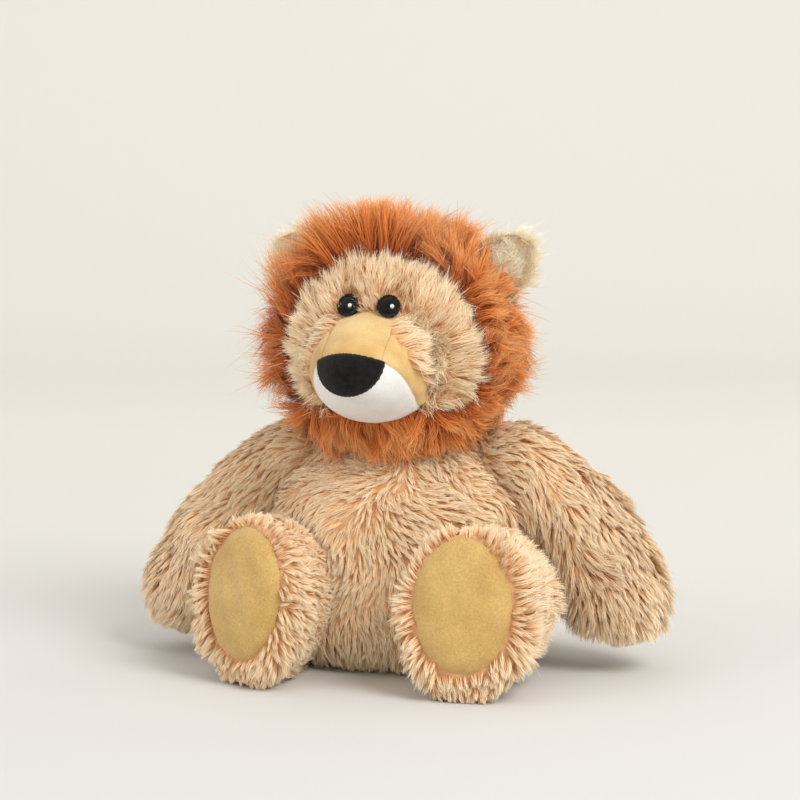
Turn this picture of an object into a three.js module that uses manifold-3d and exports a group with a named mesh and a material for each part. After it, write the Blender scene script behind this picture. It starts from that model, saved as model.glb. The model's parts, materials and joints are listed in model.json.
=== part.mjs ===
// A seated plush lion that is the furry cover of a small rubber hot water bottle.
// Millimetres, +Z up. The lion faces -Y, so its own left side is +X.
// The origin is the middle of the flat seat. A furry cover is drawn at the mean height of its pile.

import * as THREE from 'three';
import { mergeVertices } from 'three/addons/utils/BufferGeometryUtils.js';
import Module from 'manifold-3d';

const wasm = await Module();
wasm.setup();

// Clearances
const seamGap = 0.3; // between two pieces that are sewn or lie together
const swingGap = 0.6; // between a limb, the head or the flap and what it moves past
const seatCut = 0.5; // how much of a stuffed form the floor takes off
const joinDepth = 1; // how far one shape reaches into another that it is joined to

// Cloth
const bodyPile = 12; // body fur fabric, backing and pile together
const facePile = 12;
const manePile = 24;
const velourThickness = 3;
const noseThickness = 2;
const suedeThickness = 3;
const liningThickness = 1.5;

// Torso
const torsoHeight = 152;
const hipHalfWidth = 80;
const bellyHalfWidth = 84;
const shoulderHalfWidth = 50;
const hipHalfDepth = 68;
const bellyHalfDepth = 71;
const shoulderHalfDepth = 44;
const torsoSquareness = 2.5;

// Head
const headHeight = 178; // height of the head's centre over the seat
const headForward = 16; // how far it is set in front of the seat's middle
const headHalfWidth = 54;
const headHalfDepth = 50;
const headHalfHeight = 50;
const neckHeight = 119;
const facePlane = 26; // from the head's centre forward to where the face meets the mane
const faceBottom = 148; // under this the mane goes round in front, below the chin

// Muzzle, nose, chin and eyes
const muzzleRise = -6; // below the head's centre
const muzzleReach = 96; // from the head's centre to the muzzle's tip
const muzzleRootDepth = 30; // from the head's centre to where the stuffed muzzle starts
const muzzleHalfWidth = 35;
const muzzleHalfHeight = 30.5;
const muzzleTipHalfWidth = 27;
const muzzleTipHalfHeight = 24;
const bridgeHalfWidth = 17.5;
const noseHalfWidth = 18.2;
const noseTop = 10.5; // over the muzzle's axis
const noseShoulder = 6;
const noseBottom = -11.5;
const noseCornerDrop = 4.8; // under the muzzle's axis, where the nose's ends turn down and in
const chinHalfWidth = 28;
const chinUnderHalfWidth = 23.6; // of the chin panel under the muzzle
const eyeRadius = 6.3;
const eyeFrontRadius = 5.1;
const eyeThickness = 3;
const eyeSpacing = 23.5;
const eyeRise = 28; // over the head's centre
const eyeProud = 1;

// Ears
const earOut = 54; // the ear's middle, beside the head's centre
const earUp = 45;
const earBack = 10;
const earHalfLength = 28;
const earHalfWidth = 20;
const earHalfThickness = 8;

// Arms
const armRootHalfWidth = 26;
const armHalfWidth = 29;
const pawHalfWidth = 31;
const armRootHalfDepth = 30;
const armHalfDepth = 33;
const pawHalfDepth = 33;
const shoulderLean = 0.855; // radians from straight down to the way the arm's top faces off the mane
const shoulderHeight = 124;
const shoulderOut = 32;
const armBowOut = 106;
const armBowHeight = 112;
const pawOut = 134;
const leftPawForward = 2;
const leftPawHeight = 17;
const rightPawForward = 26;
const rightPawHeight = 12;

// Legs and feet
const legHalfWidth = 38;
const soleHalfWidth = 40;
const legRootHalfHeight = 44;
const legHalfHeight = 47;
const soleHalfHeight = 50;
const soleRun = 34; // length of the straight run behind the sole
const hipOut = 62;
const hipBack = 12;
const footForward = 117; // tip of the sole, in front of the seat's middle
const soleRecess = 4; // how far the fur rim stands in front of the suede sole
const padHalfWidth = 26.5;
const padHalfHeight = 36;
const padRise = 3; // of the pad's middle over the sole's
const leftSoleOut = 66;
const leftSplay = 0.12; // radians that the foot points outward
const rightSoleOut = 62;
const rightSplay = 0.44;

// Tail
const tailRadius = 6.5;
const tailRootDepth = 20; // how deep the tail's line starts inside the back
const tailRootHeight = 17;
const tailReach = 108; // farthest point behind the seat's middle
const tailSide = -1; // it curls round to the lion's own right
const tailCurlStart = 14; // sideways, where the tail begins to curl round
const tailCurlOut = 40; // sideways, where the tuft starts
const tuftLength = 36;
const tuftRadius = 13;
const tuftRootRadius = 10.5;
const tuftTipRadius = 8;

// Rubber bottle, its insert and its stopper
const bottleBase = 13.9; // over the seat
const bottleBack = 27; // behind the seat's middle
const bottleWidth = 80;
const bottleThickness = 28;
const bottleBodyHeight = 72;
const bottleWall = 2.2;
const shoulderDrop = 2; // by which the bottle's shoulder is narrower than its body, on each side
const neckRadius = 11;
const neckLength = 10;
const neckRoot = 8; // how far the neck's wall runs down into the shoulder
const insertRadius = 8.5;
const insertBore = 6.2;
const insertDepth = 14; // below the neck's top
const insertFlangeRadius = 10.5;
const insertFlange = 1.2;
const plugRadius = 5.9;
const plugLength = 11;
const washerRadius = 9.5;
const washerThickness = 1.5;
const knobRadius = 12;
const knobThickness = 3;
const tabWidth = 19;
const tabThickness = 4;
const tabHeight = 5;
const threadPitch = 2.5;
const stopperTurns = 2;

// Pocket, window and flap in the back
const pocketPlay = 1.2; // between the bottle and the pocket's lining
const flapThickness = 6;
const flapHalfWidth = 50;
const flapBottom = 28;
const flapTop = 114;
const flapFront = 40; // how far forward its corners may wrap round the shoulders
const flapClearance = 2; // under the flap, so that it can swing out of its bed
const windowLedge = 8; // how far the window's edge stays inside the flap's
const stripHeight = 4.8;
const stripInset = 0.5; // over the flap's bottom edge
const stripHalfWidth = 30;
const stripThickness = 1.3;
const flapHingeRise = 8; // from the flap's top edge up to the seam that it swings on

// Mesh fineness
const bodySides = 20;
const bodyRings = 12;
const limbSides = 14;
const limbRings = 9;
const smallSides = 12;
const smallRings = 6;
const turnedSides = 20;

const furTan = new THREE.Color(0xd9b48a);
const maneRust = new THREE.Color(0xb4622a);
const stuffingWhite = new THREE.Color(0xf2efe8);

function cloth(color, roughness = 0.95) {
  return new THREE.MeshStandardMaterial({ color, roughness, metalness: 0 });
}

// Closed meshes and solids

// Keeps only merged positions, drops flat triangles and turns the faces outward.
function cleaned(geometry) {
  const bare = geometry.clone();
  bare.deleteAttribute('normal');
  bare.deleteAttribute('uv');
  const merged = mergeVertices(bare, 1e-4);
  const index = merged.index.array;
  const position = merged.attributes.position;
  const corner = [new THREE.Vector3(), new THREE.Vector3(), new THREE.Vector3()];
  const kept = [];
  let volume = 0;
  for (let i = 0; i < index.length; i += 3) {
    const [a, b, c] = [index[i], index[i + 1], index[i + 2]];
    if (a === b || b === c || c === a) continue;
    kept.push(a, b, c);
    corner[0].fromBufferAttribute(position, a);
    corner[1].fromBufferAttribute(position, b);
    corner[2].fromBufferAttribute(position, c);
    volume += corner[0].dot(corner[1].cross(corner[2]));
  }
  merged.setIndex(volume < 0 ? kept.reverse() : kept);
  return merged;
}

function solid(geometry) {
  const closed = cleaned(geometry);
  return new wasm.Manifold(new wasm.Mesh({
    numProp: 3,
    vertProperties: Float32Array.from(closed.attributes.position.array),
    triVerts: Uint32Array.from(closed.index.array),
  }));
}

function meshOf(manifold) {
  const mesh = manifold.getMesh();
  const geometry = new THREE.BufferGeometry();
  geometry.setAttribute('position', new THREE.BufferAttribute(Float32Array.from(mesh.vertProperties), 3));
  geometry.setIndex(Array.from(mesh.triVerts));
  return geometry;
}

// The same form with its skin moved outward, or inward for a negative distance.
function grown(geometry, distance) {
  const form = cleaned(geometry);
  form.computeVertexNormals();
  const position = form.attributes.position;
  const normal = form.attributes.normal;
  for (let i = 0; i < position.count; i++) {
    position.setXYZ(
      i,
      position.getX(i) + distance * normal.getX(i),
      position.getY(i) + distance * normal.getY(i),
      position.getZ(i) + distance * normal.getZ(i),
    );
  }
  form.deleteAttribute('normal');
  return form;
}

function block(x0, x1, y0, y1, z0, z1) {
  const box = new THREE.BoxGeometry(x1 - x0, y1 - y0, z1 - z0);
  box.translate((x0 + x1) / 2, (y0 + y1) / 2, (z0 + z1) / 2);
  return solid(box);
}

// Everything on one side of a plane across X, Y or Z.
const farAway = 400;
const inFrontOf = (y) => block(-farAway, farAway, -farAway, y, -farAway, farAway);
const behind = (y) => block(-farAway, farAway, y, farAway, -farAway, farAway);
const above = (z) => block(-farAway, farAway, -farAway, farAway, z, farAway);

function turned(profile, sides = turnedSides) {
  const geometry = new THREE.LatheGeometry(profile.map(([r, z]) => new THREE.Vector2(r, z)), sides);
  geometry.rotateX(Math.PI / 2);
  return cleaned(geometry);
}

// A front view outline carried right through the head along Y.
function frontPrism(outline) {
  const fineness = { depth: farAway, bevelEnabled: false, curveSegments: 8 };
  const prism = new THREE.ExtrudeGeometry(outline, fineness);
  prism.rotateX(Math.PI / 2);
  return solid(prism);
}

// Swell and taper: a smooth value through the three sizes of a form.
function taper(t, [start, middle, end]) {
  return start * (2 * t - 1) * (t - 1) + middle * 4 * t * (1 - t) + end * t * (2 * t - 1);
}

// How far a form has opened out from its tip: 0 at the tip, 1 past the rounded length.
function opening(t, roundedLength, fullness) {
  if (t >= roundedLength) return 1;
  return Math.pow(1 - Math.pow((roundedLength - t) / roundedLength, fullness), 1 / fullness);
}

// A stuffed form: a superellipse carried along a spine, with a rounded tip at each end.
// across is measured along the side direction, through is square to it and to the spine.
function stuffedForm(form) {
  const { spine, side, across, through, rings, sides } = form;
  const { roundStart = 0.5, roundEnd = 0.5, fullStart = 2, fullEnd = 2, squareness = 2 } = form;
  const stations = [];
  for (let i = 1; i < rings; i++) {
    stations.push((1 - Math.cos((Math.PI * i) / rings)) / 2);
  }
  if (form.seatStation) stations.unshift(form.seatStation);
  const points = [spine.getPoint(0)];
  for (const t of stations) {
    const centre = spine.getPoint(t);
    const along = spine.getTangent(t);
    const sideways = side.clone().addScaledVector(along, -side.dot(along)).normalize();
    const square = along.clone().cross(sideways);
    const open = opening(t, roundStart, fullStart) * opening(1 - t, roundEnd, fullEnd);
    for (let j = 0; j < sides; j++) {
      const angle = (2 * Math.PI * j) / sides;
      const c = Math.cos(angle);
      const s = Math.sin(angle);
      const reach = Math.pow(Math.abs(c) ** squareness + Math.abs(s) ** squareness, -1 / squareness);
      points.push(centre.clone()
        .addScaledVector(sideways, open * taper(t, across) * reach * c)
        .addScaledVector(square, open * taper(t, through) * reach * s));
    }
  }
  points.push(spine.getPoint(1));
  const index = [];
  const ringStart = (i) => 1 + i * sides;
  const last = stations.length - 1;
  for (let j = 0; j < sides; j++) {
    const next = (j + 1) % sides;
    index.push(0, ringStart(0) + next, ringStart(0) + j);
    index.push(points.length - 1, ringStart(last) + j, ringStart(last) + next);
    for (let i = 0; i < last; i++) {
      const [a, b] = [ringStart(i) + j, ringStart(i) + next];
      const [c, d] = [ringStart(i + 1) + next, ringStart(i + 1) + j];
      index.push(a, b, c, a, c, d);
    }
  }
  const geometry = new THREE.BufferGeometry().setFromPoints(points);
  geometry.setIndex(index);
  return geometry;
}

function bow(from, through, to) {
  return new THREE.QuadraticBezierCurve3(
    new THREE.Vector3(...from),
    new THREE.Vector3(...through),
    new THREE.Vector3(...to),
  );
}

const alongX = new THREE.Vector3(1, 0, 0);
const alongY = new THREE.Vector3(0, 1, 0);

// Main forms

const torsoForm = stuffedForm({
  spine: bow([0, 0, -seatCut], [0, 0, torsoHeight / 2], [0, 2, torsoHeight - seatCut]),
  side: alongX,
  across: [hipHalfWidth, bellyHalfWidth, shoulderHalfWidth],
  through: [hipHalfDepth, bellyHalfDepth, shoulderHalfDepth],
  roundStart: 0.3,
  fullStart: 4,
  roundEnd: 0.45,
  squareness: torsoSquareness,
  seatStation: seatCut / torsoHeight,
  rings: bodyRings,
  sides: bodySides,
});

const headCentre = new THREE.Vector3(0, -headForward, headHeight);

const headForm = stuffedForm({
  spine: bow(
    [0, -headForward, headHeight - headHalfHeight],
    [0, -headForward, headHeight],
    [0, -headForward, headHeight + headHalfHeight],
  ),
  side: alongX,
  across: [headHalfWidth, headHalfWidth, headHalfWidth],
  through: [headHalfDepth, headHalfDepth, headHalfDepth],
  rings: bodyRings - 1,
  sides: bodySides,
});

// The room that the head turns in: a round dish about the neck's upright axis.
// Its facets stand outside the true surface, so that the turning hood clears them.
const roomSides = 32;
const roomSteps = 9;

function headRoom(clearance) {
  const facet = 1 / (Math.cos(Math.PI / roomSides) * Math.cos(Math.PI / (2 * roomSteps)));
  const radius = (Math.max(headHalfWidth, headHalfDepth) + manePile + clearance) * facet;
  const half = (headHalfHeight + manePile + clearance) * facet;
  const floorDrop = neckHeight - clearance - headHeight;
  const lowest = Math.asin(floorDrop / half);
  const profile = [[0, floorDrop]];
  for (let i = 0; i < roomSteps; i++) {
    const angle = lowest + ((Math.PI / 2 - lowest) * i) / roomSteps;
    profile.push([radius * Math.cos(angle), half * Math.sin(angle)]);
  }
  profile.push([0, half]);
  const room = turned(profile, roomSides);
  room.translate(headCentre.x, headCentre.y, headCentre.z);
  return solid(room);
}

// Everything on the head's side of the flat that an arm's top keeps clear of the mane.
function besideHead(sign) {
  const outward = new THREE.Vector3(sign * Math.sin(shoulderLean), 0, -Math.cos(shoulderLean));
  const wide = Math.max(headHalfWidth, headHalfDepth) + manePile + swingGap;
  const high = headHalfHeight + manePile + swingGap;
  const slab = new THREE.BoxGeometry(2 * farAway, farAway, 2 * farAway);
  slab.translate(0, Math.hypot(wide * outward.x, high * outward.z) - farAway / 2, 0);
  slab.applyQuaternion(new THREE.Quaternion().setFromUnitVectors(alongY, outward));
  slab.translate(headCentre.x, headCentre.y, headCentre.z);
  return solid(slab);
}

const floorLevel = above(0);
const torsoSolid = solid(torsoForm);
const torsoRoom = solid(grown(torsoForm, swingGap));
const headSpace = headRoom(swingGap);
const overNeck = above(neckHeight);

function armForm(sign, pawForward, pawHeight) {
  return stuffedForm({
    spine: bow(
      [sign * shoulderOut, 0, shoulderHeight],
      [sign * armBowOut, 0, armBowHeight],
      [sign * pawOut, -pawForward, pawHeight],
    ),
    side: alongY,
    across: [armRootHalfDepth, armHalfDepth, pawHalfDepth],
    through: [armRootHalfWidth, armHalfWidth, pawHalfWidth],
    roundStart: 0.25,
    roundEnd: 0.28,
    fullEnd: 2.4,
    rings: limbRings,
    sides: limbSides,
  });
}

// The leg's lowest facet is level, so that the floor cuts it flat.
const facetShare = Math.cos(Math.PI / limbSides);
const legAxisHeight = legHalfHeight * facetShare - seatCut;
const soleAxisHeight = soleHalfHeight * facetShare - seatCut;

function legForm(sign, soleOut, splay) {
  const knee = [
    sign * (soleOut - soleRun * Math.sin(splay)),
    -footForward + soleRun * Math.cos(splay),
    legAxisHeight,
  ];
  return stuffedForm({
    spine: bow(
      [sign * hipOut, -hipBack, legAxisHeight],
      knee,
      [sign * soleOut, -footForward, soleAxisHeight],
    ),
    side: alongX,
    across: [legHalfWidth, legHalfWidth, soleHalfWidth],
    through: [legRootHalfHeight, legHalfHeight, soleHalfHeight],
    roundStart: 0.3,
    roundEnd: 0.2,
    fullEnd: 2.6,
    rings: limbRings,
    sides: limbSides,
  });
}

// The soft parts' solids

const parts = new Map();

function keep(name, shape, material) {
  parts.set(name, { shape, material });
}

// A furry limb: a cover that is open at its seam to the torso, and the stuffing in it.
function limb(name, form, room, seatRoom) {
  const skin = solid(form).subtract(room).intersect(seatRoom);
  const lined = solid(grown(form, -bodyPile));
  const stuffing = solid(grown(form, -bodyPile - seamGap)).subtract(room).intersect(seatRoom);
  keep(`${name}_cover`, skin.subtract(lined), cloth(furTan));
  keep(`${name}_filling`, stuffing, cloth(stuffingWhite));
}

const leftArm = armForm(1, leftPawForward, leftPawHeight);
const rightArm = armForm(-1, rightPawForward, rightPawHeight);
limb('arm_left', leftArm, torsoRoom.add(besideHead(1)), floorLevel);
limb('arm_right', rightArm, torsoRoom.add(besideHead(-1)), floorLevel);

const armsRoom = solid(grown(leftArm, swingGap)).add(solid(grown(rightArm, swingGap)));

// A domed suede sole set into the end of the leg, with the fur rim standing round it.
function leg(name, sign, soleOut, splay) {
  const form = legForm(sign, soleOut, splay);
  const soleOval = (allowance) => {
    const oval = new THREE.CylinderGeometry(1, 1, 2 * bodyPile, turnedSides);
    oval.scale(padHalfWidth + allowance, 1, padHalfHeight + allowance);
    oval.rotateZ(sign * splay);
    oval.translate(sign * soleOut, -footForward, soleAxisHeight + padRise);
    return solid(oval);
  };
  const bedDepth = soleRecess + suedeThickness;
  const pad = solid(grown(form, -soleRecess))
    .subtract(solid(grown(form, -bedDepth)))
    .intersect(soleOval(0));
  keep(`foot_pad_${name.slice(4)}`, pad, cloth(0xc9a05a, 0.85));
  const bed = soleOval(seamGap).subtract(solid(grown(form, -bedDepth - seamGap)));
  limb(name, form, torsoRoom.add(armsRoom).add(bed), floorLevel);
}

leg('leg_left', 1, leftSoleOut, leftSplay);
leg('leg_right', -1, rightSoleOut, rightSplay);

// Tail, with its tuft, lying on the floor behind

function tail() {
  const tip = [tailSide * tailCurlOut, tailReach, tailRadius - seatCut];
  const cord = stuffedForm({
    spine: bow(
      [0, bellyHalfDepth - tailRootDepth, tailRootHeight],
      [tailSide * tailCurlStart, tailReach - tuftRadius, tailRadius],
      tip,
    ),
    side: alongX,
    across: [tailRadius, tailRadius, tailRadius],
    through: [tailRadius, tailRadius, tailRadius],
    roundStart: 0.1,
    roundEnd: 0.08,
    rings: limbRings,
    sides: smallSides,
  });
  const tuftSizes = [tuftRootRadius, tuftRadius, tuftTipRadius];
  const tuft = stuffedForm({
    spine: bow(
      [tip[0] - tailSide * tailRadius, tip[1], tuftRadius - seatCut],
      [tip[0] + (tailSide * tuftLength) / 2, tip[1], tuftRadius - seatCut],
      [tip[0] + tailSide * tuftLength, tip[1] - tailRadius, tuftRadius - seatCut],
    ),
    side: alongY,
    across: tuftSizes,
    through: tuftSizes,
    rings: smallRings,
    sides: smallSides,
  });
  keep('tail', solid(cord).subtract(torsoRoom).intersect(floorLevel), cloth(furTan));
  const tuftOnTail = solid(tuft).subtract(solid(grown(cord, seamGap))).intersect(floorLevel);
  keep('tail_tuft', tuftOnTail, cloth(maneRust));
}

tail();

// Head: stuffing, hood of long pile, face panel

const headInFront = inFrontOf(headCentre.y - facePlane);
const headCore = solid(grown(headForm, seamGap));

function ear(sign) {
  const lean = new THREE.Vector3(sign * earOut, 0, earUp).normalize();
  const middle = headCentre.clone().add(new THREE.Vector3(sign * earOut, earBack, earUp));
  const root = middle.clone().addScaledVector(lean, -earHalfLength);
  const tip = middle.clone().addScaledVector(lean, earHalfLength);
  return stuffedForm({
    spine: bow(root.toArray(), middle.toArray(), tip.toArray()),
    side: alongY,
    across: [earHalfThickness, earHalfThickness, earHalfThickness],
    through: [earHalfWidth, earHalfWidth, earHalfWidth],
    roundStart: 0.4,
    rings: smallRings + 2,
    sides: smallSides,
  });
}

const earForms = { ear_left: ear(1), ear_right: ear(-1) };
const earRooms = solid(grown(earForms.ear_left, seamGap)).add(solid(grown(earForms.ear_right, seamGap)));
for (const [name, form] of Object.entries(earForms)) {
  keep(name, solid(form).subtract(headCore), cloth(furTan));
}

keep('head_filling', solid(headForm).intersect(overNeck), cloth(stuffingWhite));

// Muzzle: a stuffed dome of velour panels

const muzzleAxis = headHeight + muzzleRise;
const muzzleTip = -headForward - muzzleReach;
const muzzleForm = stuffedForm({
  spine: bow(
    [0, -headForward - muzzleRootDepth, muzzleAxis],
    [0, -headForward - headHalfDepth, muzzleAxis],
    [0, muzzleTip, muzzleAxis],
  ),
  side: alongX,
  across: [muzzleHalfWidth, muzzleHalfWidth, muzzleTipHalfWidth],
  through: [muzzleHalfHeight, muzzleHalfHeight, muzzleTipHalfHeight],
  roundStart: 0.2,
  roundEnd: 0.75,
  squareness: 2.1,
  rings: bodyRings,
  sides: bodySides,
});

// Nose outline in the front view: a gently arched top and a round bottom.
function noseOutline() {
  const shoulder = muzzleAxis + noseShoulder;
  const corner = muzzleAxis - noseCornerDrop;
  const bottom = muzzleAxis + noseBottom;
  const outline = new THREE.Shape();
  outline.moveTo(-noseHalfWidth, shoulder);
  outline.quadraticCurveTo(0, muzzleAxis + 2 * noseTop - noseShoulder, noseHalfWidth, shoulder);
  outline.bezierCurveTo(noseHalfWidth, corner, noseHalfWidth / 2, bottom, 0, bottom);
  outline.bezierCurveTo(-noseHalfWidth / 2, bottom, -noseHalfWidth, corner, -noseHalfWidth, shoulder);
  return outline;
}

// Chin outline: from the nose's ends out to the cheeks and round under the muzzle.
function chinOutline(allowance) {
  const half = chinHalfWidth + allowance;
  const underHalf = chinUnderHalfWidth + allowance;
  const topHalf = bridgeHalfWidth + allowance;
  const top = muzzleAxis + noseShoulder + allowance;
  const cheek = muzzleAxis - muzzleHalfHeight / 2;
  const under = muzzleAxis - muzzleHalfHeight - 2 * velourThickness;
  const outline = new THREE.Shape();
  outline.moveTo(-topHalf, top);
  outline.lineTo(topHalf, top);
  outline.quadraticCurveTo(half, muzzleAxis, half, cheek);
  outline.lineTo(underHalf, under);
  outline.lineTo(-underHalf, under);
  outline.lineTo(-half, cheek);
  outline.quadraticCurveTo(-half, muzzleAxis, -topHalf, top);
  return outline;
}

function muzzle() {
  const faceSkin = solid(grown(headForm, facePile + seamGap));
  const velour = solid(muzzleForm).subtract(solid(grown(muzzleForm, -velourThickness)));
  const open = velour.subtract(faceSkin);
  const chinCut = frontPrism(chinOutline(0));
  const chinRoom = frontPrism(chinOutline(seamGap));
  const bridgeTop = muzzleAxis + muzzleHalfHeight + velourThickness;
  const bridgeCut = (halfWidth) => block(-halfWidth, halfWidth, -farAway, 0, muzzleAxis, bridgeTop);
  const mustard = cloth(0xd8b063, 0.8);
  keep('muzzle_bridge', open.intersect(bridgeCut(bridgeHalfWidth)).subtract(chinRoom), mustard);
  const cheeks = open.subtract(chinRoom).subtract(bridgeCut(bridgeHalfWidth + seamGap));
  keep('muzzle_cheek_left', cheeks.intersect(block(0, farAway, -farAway, 0, 0, farAway)), mustard);
  keep('muzzle_cheek_right', cheeks.intersect(block(-farAway, 0, -farAway, 0, 0, farAway)), mustard);
  keep('chin_panel', open.intersect(chinCut), cloth(0xf1efec, 0.8));
  keep(
    'muzzle_filling',
    solid(grown(muzzleForm, -velourThickness - seamGap)).subtract(faceSkin),
    cloth(stuffingWhite),
  );
  const noseLayer = solid(grown(muzzleForm, seamGap + noseThickness))
    .subtract(solid(grown(muzzleForm, seamGap)));
  const noseFront = inFrontOf(muzzleTip + noseHalfWidth * 2);
  keep('nose', noseLayer.intersect(frontPrism(noseOutline())).intersect(noseFront), cloth(0x17130f, 0.7));
}

muzzle();

// The mane's hood goes round behind the face and in front below it.
const hood = solid(grown(headForm, manePile))
  .subtract(inFrontOf(headCentre.y - facePlane + seamGap).intersect(above(faceBottom - seamGap)))
  .intersect(overNeck)
  .subtract(headCore)
  .subtract(earRooms)
  .subtract(solid(grown(muzzleForm, seamGap)));
keep('mane_hood', hood, cloth(maneRust));

// Eyes: round pieces set into the face's pile

// A round plug square to the face, from one height over its pile to another.
function eyePlug(sign, frontRadius, backRadius, low, high) {
  const eyeX = (sign * eyeSpacing) / 2;
  const a = headHalfWidth + facePile;
  const b = headHalfDepth + facePile;
  const c = headHalfHeight + facePile;
  const eyeY = -b * Math.sqrt(1 - (eyeX / a) ** 2 - (eyeRise / c) ** 2);
  const outward = new THREE.Vector3(eyeX / a ** 2, eyeY / b ** 2, eyeRise / c ** 2).normalize();
  const plug = new THREE.CylinderGeometry(frontRadius, backRadius, high - low, turnedSides);
  plug.translate(0, (low + high) / 2, 0);
  plug.applyQuaternion(new THREE.Quaternion().setFromUnitVectors(alongY, outward));
  plug.translate(headCentre.x + eyeX, headCentre.y + eyeY, headCentre.z + eyeRise);
  return solid(plug);
}

let face = solid(grown(headForm, facePile)).intersect(headInFront).subtract(headCore).intersect(above(faceBottom));
for (const [name, sign] of [['eye_left', 1], ['eye_right', -1]]) {
  const eyeBack = eyeProud - eyeThickness;
  const hollowRadius = eyeRadius + seamGap;
  keep(name, eyePlug(sign, eyeFrontRadius, eyeRadius, eyeBack, eyeProud), cloth(0x0e0c0b, 0.4));
  face = face.subtract(eyePlug(sign, hollowRadius, hollowRadius, eyeBack - seamGap, eyeThickness));
}
keep('face_panel', face, cloth(furTan));

// Rubber bottle, insert, washer and stopper, built on the bottle's own axis

const bottleGroup = new THREE.Group();
bottleGroup.position.set(0, bottleBack, bottleBase);
const neckTop = bottleBodyHeight + neckLength;
const flangeTop = neckTop + seamGap + insertFlange;
const washerTop = flangeTop + seamGap + washerThickness;
const knobBottom = washerTop + seamGap;
const knobTop = knobBottom + knobThickness;
const stopperTravel = threadPitch * stopperTurns;

function cylinder(radius, z0, z1) {
  return solid(turned([[0, z0], [radius, z0], [radius, z1], [0, z1]]));
}

function rubberBottle() {
  const form = stuffedForm({
    spine: bow([0, 0, 0], [0, 0, bottleBodyHeight / 2], [0, 0, bottleBodyHeight + joinDepth]),
    side: alongX,
    across: [bottleWidth / 2, bottleWidth / 2, bottleWidth / 2 - shoulderDrop],
    through: [bottleThickness / 2, bottleThickness / 2, bottleThickness / 2],
    roundStart: 0.2,
    fullStart: 2.6,
    roundEnd: 0.32,
    squareness: 2.8,
    rings: limbRings,
    sides: bodySides,
  });
  const neck = cylinder(neckRadius, bottleBodyHeight - neckRoot, neckTop);
  const bore = cylinder(insertRadius + seamGap, neckTop - neckLength - insertDepth, neckTop + joinDepth);
  const inside = solid(grown(form, -bottleWall)).add(bore);
  return solid(form).add(neck).subtract(inside);
}

const insertBottom = neckTop - insertDepth;
const insertProfile = [
  [insertBore, insertBottom],
  [insertRadius, insertBottom],
  [insertRadius, neckTop + seamGap],
  [insertFlangeRadius, neckTop + seamGap],
  [insertFlangeRadius, flangeTop],
  [insertBore, flangeTop],
  [insertBore, insertBottom],
];

const washerProfile = [
  [plugRadius + seamGap, flangeTop + seamGap],
  [washerRadius, flangeTop + seamGap],
  [washerRadius, washerTop],
  [plugRadius + seamGap, washerTop],
  [plugRadius + seamGap, flangeTop + seamGap],
];

function stopper() {
  const plug = cylinder(plugRadius, knobBottom - plugLength, knobBottom + joinDepth);
  const knob = cylinder(knobRadius, knobBottom, knobTop);
  const tab = block(
    -tabWidth / 2, tabWidth / 2,
    -tabThickness / 2, tabThickness / 2,
    knobTop - joinDepth, knobTop + tabHeight,
  );
  return plug.add(knob).add(tab);
}

const brass = new THREE.MeshStandardMaterial({ color: 0xb9a36a, roughness: 0.35, metalness: 0.9 });

const bottleParts = [
  ['rubber_bottle', meshOf(rubberBottle()), cloth(0x9c3b2e, 0.6)],
  ['neck_insert', turned(insertProfile), brass],
  ['sealing_washer', turned(washerProfile), cloth(0x2a2624, 0.7)],
  ['stopper', meshOf(stopper()), cloth(0x2f2b29, 0.5)],
];

// Pocket: a lined space round the bottle, open to the window in the back

const pouchTop = bottleBase + knobTop + tabHeight + stopperTravel + pocketPlay;

// The pocket's space: wide round the bottle's body and narrow round its neck.
function pocketSpace(allowance) {
  const half = bottleWidth / 2 + pocketPlay + allowance;
  const front = bottleBack - bottleThickness / 2 - pocketPlay - allowance;
  const neckHalf = Math.max(knobRadius, tabWidth / 2) + pocketPlay + allowance;
  const shoulder = bottleBase + bottleBodyHeight + pocketPlay + allowance;
  const low = bottleBase - seamGap - allowance;
  const bodySpace = block(-half, half, front, farAway, low, shoulder);
  const neckSpace = block(-neckHalf, neckHalf, front, farAway, shoulder - joinDepth, pouchTop + allowance);
  return bodySpace.add(neckSpace);
}

const torsoCore = solid(grown(torsoForm, -bodyPile - seamGap));
const liningCore = solid(grown(torsoForm, -bodyPile - seamGap - liningThickness));

// Nothing stands in the stopper's way up, whatever the torso's size.
const stopperRoom = cylinder(
  Math.max(knobRadius, tabWidth / 2) + pocketPlay,
  bottleBase + bottleBodyHeight, pouchTop,
).translate(0, bottleBack, 0);

function flapBox(allowance) {
  const half = flapHalfWidth + allowance;
  return block(-half, half, flapFront - allowance, farAway, flapBottom - allowance, flapTop + allowance);
}

const windowSpace = block(
  -flapHalfWidth + windowLedge, flapHalfWidth - windowLedge,
  bottleBack + bottleThickness / 2, farAway,
  flapBottom + windowLedge, flapTop - windowLedge,
);

const lining = pocketSpace(liningThickness).intersect(torsoCore)
  .subtract(pocketSpace(0).intersect(liningCore))
  .subtract(stopperRoom)
  .subtract(windowSpace);
keep('pocket_lining', lining, cloth(0xe7d9bd, 0.9));

const torsoStuffing = torsoCore
  .subtract(pocketSpace(liningThickness + seamGap))
  .subtract(headSpace)
  .intersect(above(bodyPile));
keep('torso_filling', torsoStuffing, cloth(stuffingWhite));

// Flap: a patch of the back, hanging from its top seam, with a hook strip that meets a loop strip

function backLayer(outerDepth, innerDepth) {
  return solid(grown(torsoForm, -outerDepth)).subtract(solid(grown(torsoForm, -innerDepth)));
}

function stripBox(allowance) {
  const bottom = flapBottom + stripInset;
  return block(
    -stripHalfWidth - allowance, stripHalfWidth + allowance,
    0, farAway,
    bottom - allowance, bottom + stripHeight + allowance,
  );
}

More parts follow.
